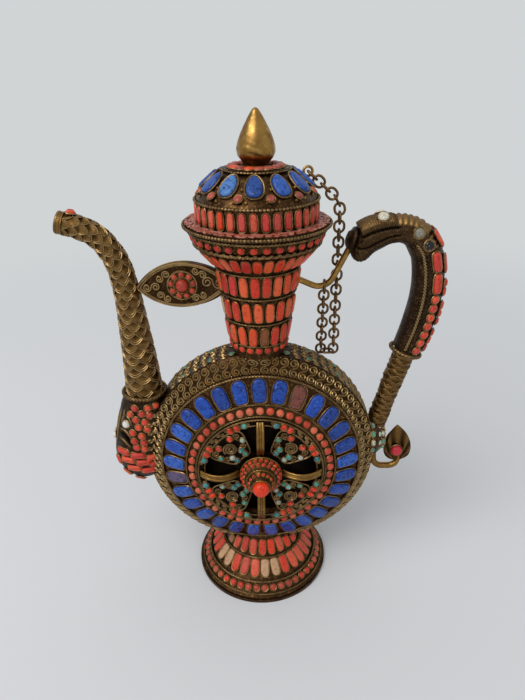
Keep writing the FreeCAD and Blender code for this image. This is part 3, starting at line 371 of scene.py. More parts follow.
def loose_solids(node):
    """Points, triangles and solid numbers of a CAD node's loose solids: touching triangles get the least
    number."""
    mesh = frame["nodes"][node].data
    points = np.empty(len(mesh.vertices) * 3, np.float32)
    mesh.vertices.foreach_get("co", points)
    corners = np.empty(len(mesh.loops), np.int32)
    mesh.loops.foreach_get("vertex_index", corners)
    points, back = np.unique(np.round(points.reshape(-1, 3) / METRE, 3), axis=0, return_inverse=True)
    triangles = back.ravel()[corners].reshape(-1, 3)
    label = np.arange(len(points))
    changed = True
    while changed:
        least = label.copy()
        np.minimum.at(least, triangles.ravel(), np.repeat(label[triangles].min(1), 3))
        least = least[least]
        changed = bool((least != label).any())
        label = least
    number = np.unique(label, return_inverse=True)[1].ravel()
    return points, triangles, number


def total(number, values):
    """Sums of values over the solids."""
    made = np.zeros((number.max() + 1,) + values.shape[1:])
    np.add.at(made, number, values)
    return made


def dots(first, second):
    """Dot products of two lists of vectors."""
    return np.einsum("ij,ij->i", first, second)


def seats_of(node):
    """The seats of a CAD node's stones. The flat back is the largest even face, so it gives the way out; the
    long way comes from the spread of the surface."""
    points, triangles, number = loose_solids(node)
    a, b, c = (points[triangles[:, k]] for k in range(3))
    area = np.cross(b - a, c - a) / 2
    size = np.linalg.norm(area, axis=1, keepdims=True) + 1e-12
    solid = number[triangles[:, 0]]
    out = np.linalg.eigh(total(solid, area[:, :, None] * (area / size)[:, None]))[1][:, :, 2]
    lean = dots(area / size, out[solid])
    out = out * -np.sign(total(solid, size[:, 0] * lean ** 3))[:, None]
    weight = total(solid, size)
    middle = total(solid, size * (a + b + c) / 3) / weight
    arm = (a + b + c) / 3 - middle[solid]
    arm -= dots(arm, out[solid])[:, None] * out[solid]
    along = np.linalg.eigh(total(solid, size[:, :, None] * arm[:, :, None] * arm[:, None]))[1][:, :, 2]
    ways = (np.cross(along, out), along, out)
    low, high = np.full((len(out), 3), FAR), np.full((len(out), 3), -FAR)
    local = np.stack([dots(points - middle[number], way[number]) for way in ways], 1)
    np.minimum.at(low, number, local)
    np.maximum.at(high, number, local)
    centre = (low + high) / 2
    centre[:, 2] = low[:, 2]
    origin = middle + sum(centre[:, k:k + 1] * way for k, way in enumerate(ways))
    return Seats(origin, *ways, high - low)


def rings_of(node):
    """Middle, axis, radius and wire radius of the ring wires of a CAD node. The middle is that of the circle
    that fits the points best, since a ring may be cut."""
    points, _, number = loose_solids(node)
    count = total(number, np.ones(len(points)))[:, None]
    middle = total(number, points) / count
    arm = points - middle[number]
    axis = np.linalg.eigh(total(number, arm[:, :, None] * arm[:, None]))[1][:, :, 0]
    flat = arm - dots(arm, axis[number])[:, None] * axis[number]
    for ring in range(len(axis)):
        own = flat[number == ring]
        terms = np.column_stack([2 * own, np.ones(len(own))])
        middle[ring] += np.linalg.lstsq(terms, (own ** 2).sum(1), rcond=1e-6)[0][:3]
    arm = points - middle[number]
    height = dots(arm, axis[number])
    radius = np.linalg.norm(arm - height[:, None] * axis[number], axis=1)
    wire, inner, outer = np.zeros(len(axis)), np.full(len(axis), FAR), np.zeros(len(axis))
    np.maximum.at(wire, number, height)
    np.minimum.at(inner, number, radius)
    np.maximum.at(outer, number, radius)
    return middle, axis, (inner + outer) / 2, wire


def add_node(tree, kind, sockets=None, **fields):
    """A shader node with its fields set and its sockets linked or set."""
    made = tree.nodes.new(kind)
    for name, value in fields.items():
        setattr(made, name, value)
    for name, value in (sockets or {}).items():
        if isinstance(value, bpy.types.NodeSocket):
            tree.links.new(value, made.inputs[name])
        else:
            made.inputs[name].default_value = value
    return made


def opaque(rgb):
    """A colour with full cover."""
    return (*rgb, 1.0)


def new_material(name):
    """An empty material with its tree, surface shader and object coordinates."""
    made = bpy.data.materials.new(name)
    made.use_nodes = True
    tree = made.node_tree
    place = add_node(tree, "ShaderNodeTexCoord").outputs["Object"]
    return made, tree, tree.nodes["Principled BSDF"], place


def share(tree, place, size, low, high, detail=3.0, distortion=0.0):
    """A noise with patches of a size in millimetres, stretched so that low gives 0 and high gives 1."""
    noise = add_node(tree, "ShaderNodeTexNoise", {"Vector": place, "Scale": 1 / (size * METRE),
                                                  "Detail": detail, "Distortion": distortion})
    return add_node(tree, "ShaderNodeMapRange", {"Value": noise.outputs["Fac"], "From Min": low,
                                                 "From Max": high}).outputs["Result"]


def painted(tree, name, output="Fac"):
    """A value that the mesh carries at its points."""
    return add_node(tree, "ShaderNodeAttribute", attribute_name=name).outputs[output]


def blend(tree, factor, first, second, **fields):
    """One colour going over into another."""
    sockets = {0: factor, 6: first, 7: second}
    return add_node(tree, "ShaderNodeMix", sockets, data_type="RGBA", **fields).outputs[2]


# Levels of the noise at which each kind of patch begins and is full.
TARNISHED, RUBBED, FLECKED = (0.38, 0.62), (0.54, 0.84), (0.62, 0.72)
VEIN_EDGE = 0.16            # from where a vein begins to where it is full
TARNISH_ROUGH = 0.18        # how much rougher the tarnish is
STONE_SPECULAR = 0.34
STONE_GRIME = linear("#3a2116")


def metal(name, colours, roughness, patch, grain, relief):
    """A worn metal: patches of tarnish, rubbed grain, painted shade and grime where the mesh marks them, and
    a fine uneven surface.
    """
    made, tree, shader, place = new_material(name)
    dark, middle, light = (getattr(bpy.context.scene.ewer_colours, key) for key in colours)
    tarnish = share(tree, place, patch, *TARNISHED)
    rubbed = share(tree, place, grain, *RUBBED, 5.0)
    polish, shade_and_grime = painted(tree, "tint"), painted(tree, "shade_and_grime")
    worn = blend(tree, tarnish, opaque(middle), opaque([(m + d) / 2 for m, d in zip(middle, dark)]))
    # The dark colour is painted shade in grooves and recesses, and grime, as far as the mesh's
    # shade_and_grime share gives.
    for factor, over in ((rubbed, light), (polish, light), (shade_and_grime, dark)):
        worn = blend(tree, factor, worn, opaque(over))
    height = add_node(tree, "ShaderNodeTexNoise", {"Vector": place, "Scale": 1 / (grain * METRE),
                                                   "Detail": 4.0}).outputs["Fac"]
    uneven = add_node(tree, "ShaderNodeBump", {"Height": height, "Distance": relief * METRE})
    rough = add_node(tree, "ShaderNodeMapRange", {"Value": tarnish, "To Min": roughness,
                                                  "To Max": roughness + TARNISH_ROUGH})
    tree.links.new(worn, shader.inputs["Base Color"])
    tree.links.new(uneven.outputs["Normal"], shader.inputs["Normal"])
    tree.links.new(rough.outputs["Result"], shader.inputs["Roughness"])
    shader.inputs["Metallic"].default_value = 1.0
    return made


def tinted_stone(name, veins, vein_size, vein_low, flecks, fleck_size, roughness):
    """A polished stone: its own tint from the mesh, darker veins and pale flecks, under a smooth surface."""
    made, tree, shader, place = new_material(name)
    tint = painted(tree, "tint", "Color")
    vein = share(tree, place, vein_size, vein_low, vein_low + VEIN_EDGE, 4.0, 1.2)
    fleck = share(tree, place, fleck_size, *FLECKED)
    shade = blend(tree, 1.0, tint, opaque(linear(veins)), blend_type="MULTIPLY")
    body = blend(tree, vein, tint, shade)
    body = blend(tree, fleck, body, opaque(linear(flecks)))
    body = blend(tree, painted(tree, "shade_and_grime"), body, opaque(STONE_GRIME))
    tree.links.new(body, shader.inputs["Base Color"])
    shader.inputs["Roughness"].default_value = roughness
    shader.inputs["Specular IOR Level"].default_value = STONE_SPECULAR
    return made


# Metals by slot: the name, the colours of hollows, body and rubbed places, the roughness, and the sizes in
# mm of tarnish patches, rubbed grain and relief.
METALS = {
    # Gilt brass sheet, beaten and worn: brown gold with grime and with painted shade in its grooves and
    # recesses, so that stones and wires stand out on it.
    "aged_brass": ("aged_brass_beaten_sheet", ("sheet_dark", "sheet", "sheet_light"), 0.36, 9.0, 1.6, 0.12),
    # Twisted gilt wire: tan crests and grooves darkened as painted shade, the light lines between the rows of
    # stones.
    "twisted_wire": ("twisted_wire_gilt_brass", ("wire_dark", "wire", "wire_light"), 0.34, 5.0, 0.9, 0.05),
    # Pierced brass, darkened: a nearly black ground that the medallion's stones and straps lie on, darkened
    # further as painted shade on the recess floor.
    "medallion_brass": ("medallion_brass_pierced", ("bronze_dark", "bronze_dark", "sheet"), 0.42, 4.0, 0.8,
                        0.12),
    # Brass rubbed bright by hands: satin gold with brown stains, and painted shade between rope strands and
    # on the finial's foot.
    "bright_brass": ("bright_brass_hand_rubbed", ("bright_dark", "bright", "bright_light"), 0.27, 7.0, 2.4,
                     0.05),
    # Drawn brass wire, dull: warm brown links.
    "chain_brass": ("chain_brass_drawn_wire", ("chain_dark", "chain", "chain_light"), 0.38, 3.0, 0.8, 0.05),
    # Cast bronze with brown patina: the dark, granular skin of the carved heads and the grip, with painted
    # shade in their sunken places.
    "dark_bronze": ("dark_bronze_cast_patina", ("bronze_dark", "bronze", "bronze_light"), 0.4, 6.0, 0.9,
                    0.16),
}
# Stones by slot: the name, the veins' colour, size in mm and first noise level, the flecks' colour and size
# in mm, and the roughness.
STONES = {
    # Polished coral: salmon to red, with darker streaks and a few worn pale spots.
    "coral": ("coral_polished", "#c47c6c", 1.6, 0.54, "#d07858", 0.7, 0.34),
    # Polished lapis: deep blue with near-black clouds and pale calcite flecks.
    "lapis": ("lapis_polished", "#707aa0", 2.6, 0.5, "#5f7cb0", 1.1, 0.3),
    # Waxy turquoise: blue green with brown matrix.
    "turquoise": ("turquoise_waxed", "#7a7058", 1.2, 0.5, "#bfd0bd", 0.8, 0.42),
    # Polished pale stone: off-white and grey green cabochons.
    "pale_stone": ("pale_stone_polished", "#a8a498", 1.8, 0.52, "#ffffff", 0.9, 0.28),
}
MADE = {}


def material(slot):
    """The material of a slot, made once."""
    if slot not in MADE:
        MADE[slot] = metal(*METALS[slot]) if slot in METALS else tinted_stone(*STONES[slot])
    return MADE[slot]


def pick_tints(rng, codes, count):
    """Colours drawn from a list of hex colours, each a little lighter or darker."""
    base = np.array([linear(code) for code in codes])[rng.integers(0, len(codes), count)]
    return base * rng.uniform(0.86, 1.1, (count, 1))


# Ends of stones as (width share, power), and sections as rows of (share drawn in, share of the height).
ROUND, SQUARE, ARCH = (1.0, 2.0), (0.96, 4.5), (1.0, 2.7)
DOME = ((0.0, 0.0), (0.0, 0.45), (0.14, 0.75), (0.4, 0.95), (0.72, 1.0))
SLAB = ((0.0, 0.0), (0.0, 0.6), (0.1, 0.86), (0.3, 0.98), (0.6, 1.0))
BALL = ((0.0, 0.0), (0.0, 0.4), (0.4, 0.9))


def outlines(size, low=ROUND, high=ROUND, steps=14):
    """Outline points of stones and the directions off the outline: a rounded oblong whose halves have their
    own width share and power. Power 2 gives a round end and a larger one a squarer end."""
    turn = ring_turns(steps, 0.5)
    x, y = np.cos(turn), np.sin(turn)
    wide, power = (np.where(y < 0, low[k], high[k]) for k in range(2))
    x, y = signed_power(x, 2 / power), signed_power(y, 2 / power)
    half = size[:, None, :2] / 2
    flat = np.stack([half[..., 0] * (wide + (1 - wide) * (1 - np.abs(y))) * x, half[..., 1] * y], -1)
    way = np.stack([signed_power(x, power - 1), signed_power(y, power - 1)], -1) / half
    return flat, unit(way)


def stones(seats, rows=DOME, low=ROUND, high=ROUND, steps=14):
    """Cut stones: each outline drawn in row by row while it rises, so that the top is domed or flat."""
    flat, way = outlines(seats.size, low, high, steps)
    inset = np.minimum(seats.size[:, 0], seats.size[:, 1])[:, None, None] / 2
    inset = inset * min(low[0], high[0])
    made = []
    for draw, rise in rows:
        height = np.broadcast_to(seats.size[:, None, 2:] * rise, flat.shape[:2] + (1,))
        made.append(np.concatenate([flat - way * inset * draw, height], -1))
    return skin(seats.lay(np.stack(made, 1)))


def settings(seats, wire, gap, rise, low=ROUND, high=ROUND, steps=18):
    """Wires laid round stones: each stone's outline moved out by a gap, at a height over the seat."""
    flat, way = outlines(seats.size, low, high, steps)
    path = np.concatenate([flat + way * gap, np.full(flat.shape[:2] + (1,), rise)], -1)
    return tube(seats.lay(path), seats.out[:, None], wire, 5, True)


def set_stones(shape, wires, seats, tint, lay, rubbed=0.0, ends=ROUND):
    """Adds stones to one shape and the wires round them to another. Lay is (wire, gap, rise)."""
    shape.add_stones(seats, tint, low=ends, high=ends)
    wires.add(settings(seats, *lay, ends, ends), rubbed)


def granules(points, normals, radius):
    """Small solder balls: low domes of a few rows on a surface."""
    points, normals = np.asarray(points, float), np.asarray(normals, float)
    guide = np.where(np.abs(normals[:, 2:]) < 0.8, [[0.0, 0.0, 1.0]], [[1.0, 0.0, 0.0]])
    across = unit(np.cross(normals, guide))
    seats = Seats(points - normals * 0.15 * radius, across, np.cross(normals, across), normals,
                  np.broadcast_to([2 * radius, 2 * radius, 1.5 * radius], points.shape))
    return stones(seats, BALL, steps=7)


def twisted(wire, lobe):
    """Radii of a wire whose section has lobes, and how deep each point lies between the crests."""
    return wire * (0.8 + 0.2 * lobe), fade(-lobe, -0.1, 1.0).ravel()


def ropes(middle, axis, radius, wire, pitch, twist=2):
    """Two strands twisted together and bent into a ring: a wire whose section has two lobes that turn as it
    goes round; with no twist it is a notched wire. Gives the skin and the painted shade between the crests."""
    crests = 2 * max(4, round(FULL * radius / pitch / 2))
    turn = ring_turns(crests * 4)
    guide = (0.0, 1.0, 0.0) if abs(axis[1]) < 0.9 else (0.0, 0.0, 1.0)
    first = unit(np.cross(axis, np.array(guide)))
    second = np.cross(axis, first)
    out = np.cos(turn)[:, None] * first + np.sin(turn)[:, None] * second
    lobe = np.cos(twist * ring_turns(8)[None] - crests * turn[:, None])
    thick, deep = twisted(wire, lobe)
    return tube((middle + out * radius)[None], out[None], thick[None], 8, True), deep * 0.85


def rope_rings(node, twist=2):
    """A shape with a rope or a notched wire for every ring wire of a CAD node."""
    shape = Shape()
    for ring in zip(*rings_of(node)):
        shape.add_rope(*ring, size_mm("rope_pitch"), twist)
    return shape


CORALS = {
    "foot": ("#cc3c22", "#c84a34", "#b43a2c", "#d4563a", "#d63818"),
    "foot_bead": ("#b44a34", "#bc5238", "#c83822", "#a8402c"),
    "flask": ("#c64a2e", "#cc5a3a", "#b83c28", "#d2684a"),
    "neck": ("#d83a14", "#dc4a1c", "#c82c24", "#de5a2c", "#d03016"),
    "lid": ("#d84c38", "#cc3c34", "#de5c42", "#dc4018", "#cc4a40"),
    "handle": ("#d4422c", "#da5234", "#c63c30"),
    "bead": ("#c42c1a", "#ce381c", "#b0281e"),
    "bright": ("#e23c14", "#dc3614"),
}
RESIN, BEIGE = linear("#9a5626"), linear("#c19a74")


def front_turn(degrees):
    """Angle round the standing axis, counted from the front towards the right."""
    return math.radians(270 + degrees)


def set_row(node, tints, name=None, lay=(1.0, 0.3, 0.5), body="pot", low=ROUND, high=ROUND, rows=DOME, seed=1,
            changes=(), slot="coral", target=None, steps=14, settle=True, grow=(0.0, 0.0, 0.0), seats=None):
    """A row of stones that stands for a CAD node, with a wire setting round each, on the node's own seats if
    none are given. Lay is the share of the setting wire's radius, its gap off the stone and its rise over the
    seat. Changes are (point, colour, height share) for single stones that are worn, lost or replaced. Grow is
    added to the width, the length and the height."""
    name = name or node
    rng = np.random.default_rng(seed)
    seats = seats_of(node) if seats is None else seats
    if target is not None:
        seats = seats.facing(target)
    seats.size = seats.size + np.array(grow)
    tint = pick_tints(rng, tints, len(seats.origin))
    seats.size[:, 2] *= rng.uniform(0.88, 1.0, len(tint))
    worn = np.zeros(len(tint))
    for point, code, height in changes:
        chosen = seats.near(point)
        tint[chosen] = code
        seats.size[chosen, 2] *= height
        worn[chosen] = 0.3 * (height < 0.5)
    shape = Shape().add_stones(seats, tint, worn, rows=rows, low=low, high=high, steps=steps)
    shape.piece(name + "_stones", body, slot, (node,))
    if settle:
        share_of_wire, gap, rise = lay
        wire = size_mm("setting_wire") * share_of_wire
        ring = Shape().add(settings(seats, wire, gap, rise, low, high, steps + 4))
        ring.piece(name + "_settings", body, "twisted_wire")


def dress(*nodes):
    """Gives CAD nodes the material of their slot."""
    slots = {part["node"]: part["material_slot"] for part in frame["record"]["subparts"]}
    for node in nodes:
        mesh = frame["nodes"][node].data
        mesh.materials.clear()
        mesh.materials.append(material(slots[node]))


def circle(turn):
    """Plane points on a circle of radius one at angles."""
    return np.stack([np.cos(turn), np.sin(turn)], -1)


def scroll(turns=1.6, points=17):
    """An S-scroll of length one: a spiral that opens to the middle and, turning the other way, one that
    closes."""
    turn = np.linspace(0, FULL * turns, points)
    reach = 0.25 * (1 - 0.78 * turn / turn[-1])
    half = np.stack([0.25 - reach * np.cos(turn), reach * np.sin(turn)], -1)
    return np.concatenate([-half[:0:-1], half])


def spread(across, along, lean, size):
    """Places for a row of like motifs."""
    fill = [np.full_like(across, value) for value in (along, lean, size, 1.0)]
    return np.stack([across, *fill], -1)


def place_motif(motif, places):
    """Copies of a plane motif at places (across, along, lean in degrees, size, 1 or -1 for mirrored)."""
    places = np.asarray(places, float)
    lean = np.radians(places[:, 2])[:, None]
    x = motif[None, :, 0] * places[:, 3:4]
    y = motif[None, :, 1] * (places[:, 3] * places[:, 4])[:, None]
    return np.stack([x * np.cos(lean) - y * np.sin(lean) + places[:, 0:1],
                     x * np.sin(lean) + y * np.cos(lean) + places[:, 1:2]], -1)


SCROLL = scroll()
HALF_SCROLL = SCROLL[15:]   # the spiral at one end of the scroll
BAND_RADIUS, BAND_HALF = 72.0, 10.0
EDGE_RADIUS, EDGE_DEPTH = 62.0, 17.5
BAND_SIDE = Cone(FRONT, (BAND_RADIUS, -BAND_HALF), (BAND_RADIUS, BAND_HALF))
BAND_SCROLLS = 72           # scrolls in a row round the band, if nothing stood in their way
NECK_FOOT = 15.6            # radius of the neck where it stands on the band
LAPIS_RING = (54, 21)       # radius and depth of the middle of the lapis row
FLOOR_DEPTH = 22.5          # floor of the recess behind the medallion
PLATE_DEPTH = 28.2          # top of the medallion's plate from the flask's middle plane
PANEL_SPREAD, PANEL_MIDDLE, PANEL_HALF = 25.0, 24.8, 9.4
PANEL_COILS = ((17, 30.5), (-17, 30.5), (18, 22.4), (-18, 22.4))
RIM_ROW = 36.4              # radius of the small scrolls round the medallion
COIL_TURNS, COIL_RADIUS, COIL_PLACE = 2.4, 4.3, 25.5
CHIP_REACH = 28             # the medallion's stones past this radius are coral
PRONG_START, PRONG_RUN, PRONG_RISE = 13.8, 22.8, 5.2
PRONG_WIRES = ((-1.45, 1.0), (1.45, 1.0), (0.0, 0.75))      # shift across and radius
BOSS = ((1.0, 0.0), (12.5, 0.0), (12.5, 1.8), (12.0, 2.6), (9.4, 8.0), (8.2, 8.6), (7.6, 9.0), (5.5, 14.6),
        (5.2, 14.9), (1.0, 14.9))
BOSS_BEADS = ((3, 22, 1.2, 2.4), (3, 20, 4.0, 2.2), (6, 15, 2.2, 1.9))      # outline row, count, along, size
BOSS_ROPES = ((12.5, 1.9, 0.62), (8.3, 8.7, 0.55), (5.3, 14.8, 0.5))        # radius, depth, wire
BOSS_CORAL = ((0, 0), (0, 0.3), (0.06, 0.55), (0.2, 0.8), (0.42, 0.95), (0.7, 1.0))
STRAIGHT, DIAGONAL = (0, 90, 180, 270), (45, 135, 225, 315)


def is_free(turn, neck=15.0, foot=17.0, head=(52.0, 110.0), root=(73.0, 98.0)):
    """Whether places round the flask, as angles from its top towards the handle, are clear of the neck, the
    foot, the monster head and the handle's root."""
    angle = np.degrees(np.arctan2(np.sin(turn), np.cos(turn)))
    free = (np.abs(angle) > neck) & (np.abs(angle) < 180 - foot)
    free &= ~((angle < -head[0]) & (angle > -head[1]))
    return free & ~((angle > root[0]) & (angle < root[1]))


class EWER_OT_metals(bpy.types.Operator):
    """Gives the carried-over shells their metals"""

    bl_idname = "ewer.metals"
    bl_label = "Metals"

    def execute(self, context):
        dress("foot_rim", "foot_shell", "flask_band", "flask_front", "flask_back", "medallion_front",
              "medallion_back", "neck_funnel", "strut_leaf", "handle_rod", "lid_plug", "lid_flange",
              "lid_wall", "lid_dome", "lid_disc", "lid_eyelet", "handle_root", "spout_head")
        dress(*(node for node in frame["nodes"] if node.startswith("chain_")))
        return {"FINISHED"}


class EWER_OT_wires(bpy.types.Operator):
    """Twists the ring wires of the pot and of the lid"""

    bl_idname = "ewer.wires"
    bl_label = "Ring wires"

    def execute(self, context):
        for node in ("foot_wires", "flask_wires", "neck_wires", "spout_collar", "handle_ring"):
            rope_rings(node).piece(node + "_twisted", "pot", "twisted_wire", (node,))
        rope_rings("lid_wires", 0).piece("lid_wires_notched", "lid", "twisted_wire", ("lid_wires",))
        return {"FINISHED"}


FOOT_SLOPE = Cone(STAND, (26.0, 21.8), (18.6, 33.0))
FOOT_SIDES = ((45, 7.2), (60, 4.6))     # degrees from front and back, and lengths, of the added tablets
RIM_RADIUS, RIM_RIDGES = 44.72, (0.35, 1.2, 2.05)


class EWER_OT_foot(bpy.types.Operator):
    """Sets the foot's coral tablets and beads and rings its rim"""

    bl_idname = "ewer.foot"
    bl_label = "Foot"

    def execute(self, context):
        beige = [(STAND.at(front_turn(a), 31, 16), BEIGE, 0.8) for a in (8, 20, -52, -64)]
        beige.append((STAND.at(front_turn(-58), 22, 28), linear("#9a6a48"), 0.8))
        seats = seats_of("foot_tablets")
        for angle, tall in FOOT_SIDES:
            turn = np.radians([270 - angle, 270 + angle, 90 - angle, 90 + angle])
            seats = seats.join(FOOT_SLOPE.seats(turn, 1.6 + tall / 2, (4.3, tall, 1.7)))
        set_row("foot_tablets", CORALS["foot"], lay=(1.0, 0.3, 0.8), low=ARCH, high=SQUARE, rows=SLAB,
                seed=3, changes=beige, target=(0, 0, 400), grow=(0.3, 0.6, 0.0), seats=seats)
        set_row("foot_beads", CORALS["foot_bead"], lay=(1.3, 0.2, 0.6), seed=4)
        turn = ring_turns(160)
        path = STAND.at(turn[None], RIM_RADIUS, np.array(RIM_RIDGES)[:, None])
        rings = tube(path, STAND.out(turn), 0.28, 6, True)
        Shape().add(rings).piece("foot_rim_ridges", "pot", "twisted_wire")
        return {"FINISHED"}


class EWER_OT_flask(bpy.types.Operator):
    """Sets the lapis and beads on both faces and lays the filigree on the band"""

    bl_idname = "ewer.flask"
    bl_label = "Flask"

    def execute(self, context):
        blues = ("#1b48a6", "#2454b0", "#1c449a", "#2c5cb8", "#1b4092")
        # One stone is lost, one is broken and the two lowest are paler.
        changed = ((-24.8, "#8a4a38", 0.4), (99.3, "#5a4a6a", 0.55), (173.8, "#3a5fb0", 1.0),
                   (-173.8, "#3a5fb0", 1.0))
        changes = [(FRONT.at(math.radians(a), *LAPIS_RING), linear(code), high) for a, code, high in changed]
        set_row("flask_lapis", blues, lay=(1.0, 0.55, 0.7), low=ARCH, high=(0.84, 6.0), rows=SLAB,
                seed=8, changes=changes, slot="lapis", target=(0, 0, FLASK_HEIGHT), steps=16,
                grow=(0.6, 1.4, 0.0))
        set_row("flask_beads", CORALS["flask"], lay=(1.0, 0.1, 0.4), seed=9, grow=(0.6, 0.6, 0.0))
        self.ground()
        self.filigree()
        self.turquoise()
        return {"FINISHED"}

    def ground(self):
        """A dark foil under the filigree, round the band and over both its sloping edges."""
        half = [(EDGE_RADIUS + 0.3, EDGE_DEPTH), (BAND_RADIUS, BAND_HALF), (BAND_RADIUS, 0.0)]
        outer = np.array(half + [(r, -d) for r, d in half[1::-1]])
        foil = np.concatenate([outer + [0.08, 0.0], outer[::-1] - [0.3, 0.0]])
        points = FRONT.at(ring_turns(240)[None], foil[:, :1], foil[:, 1:])
        Shape().add(skin(points[None], True), shade_and_grime=0.5).piece("flask_band_ground", "pot", "aged_brass")

    def filigree(self):
        """S-scrolls and granules: a row on each sloping edge of the band and two rows round its outside."""
        wire, grain = size_mm("scroll_wire"), size_mm("granule")
        shape = Shape()
        whole = ring_turns(BAND_SCROLLS, 0.5)
        for lathe, flip in ((FRONT, -1), (BACK, 1)):
            strip = Cone(lathe, (EDGE_RADIUS, EDGE_DEPTH), (BAND_RADIUS, BAND_HALF))
            turn = whole[is_free(whole * flip, 0.0, 14.0, (0.0, 0.0), (0.0, 0.0))]
            flat = place_motif(SCROLL, spread(turn * strip.middle, strip.length * 0.5, 82, 11.6))
            shape.add(tube(*self.outside(strip, flat, wire * 0.6), wire, 4), 0.3)
            balls = (turn + FULL / BAND_SCROLLS / 2) * strip.middle
            for at in (0.1, 0.9):
                flat = np.stack([balls, np.full_like(balls, strip.length * at)], -1)
                shape.add(granules(*self.outside(strip, flat, 0.0), grain))
        across = whole[is_free(-whole, 13.5, 17.0)] * BAND_RADIUS
        rows = [spread(across, at, lean, 10.0) for at, lean in ((5.1, 80), (14.9, -80))]
        points, normals = BAND_SIDE.wrap(place_motif(SCROLL, np.concatenate(rows)), wire * 0.5)
        shape.add(tube(points, normals, wire * 0.9, 4), 0.25)
        shape.piece("flask_band_filigree", "pot", "twisted_wire")

    def turquoise(self):
        """Small turquoise on the band's outside, on either hand of the neck."""
        turn = np.radians(np.tile([-13.0, -24.0, 24.0, 13.0, -40.0, 40.0], 2))
        seats = BAND_SIDE.seats(turn, np.repeat([4.2, 15.8], 6), (3.4, 3.0, 1.1))
        tint = pick_tints(np.random.default_rng(5), ("#2f7f62", "#4f9a80", "#2f7a70"), len(turn))
        chips, wires = Shape(), Shape()
        set_stones(chips, wires, seats, tint, (0.4, 0.3, 0.4))
        chips.piece("flask_band_turquoise", "pot", "turquoise")
        wires.piece("flask_band_settings", "pot", "twisted_wire")

    def outside(self, strip, flat, lift):
        """Points on a strip whose outside is to the other hand of its run, and normals."""
        turn = flat[..., 0] / strip.middle
        points = strip.at(turn, flat[..., 1], -lift)
        return over_neck(points, lift), -strip.normal(turn)


def over_neck(points, lift):
    """Points moved out of the neck's foot where it stands through the band."""
    reach = np.hypot(points[..., 0], points[..., 1])
    inside = (points[..., 2] > FLASK_HEIGHT) & (reach < NECK_FOOT + lift)
    grow = np.where(inside, (NECK_FOOT + lift) / np.maximum(reach, 1.0), 1.0)[..., None]
    return points * np.concatenate([grow, grow, np.ones_like(grow)], -1)


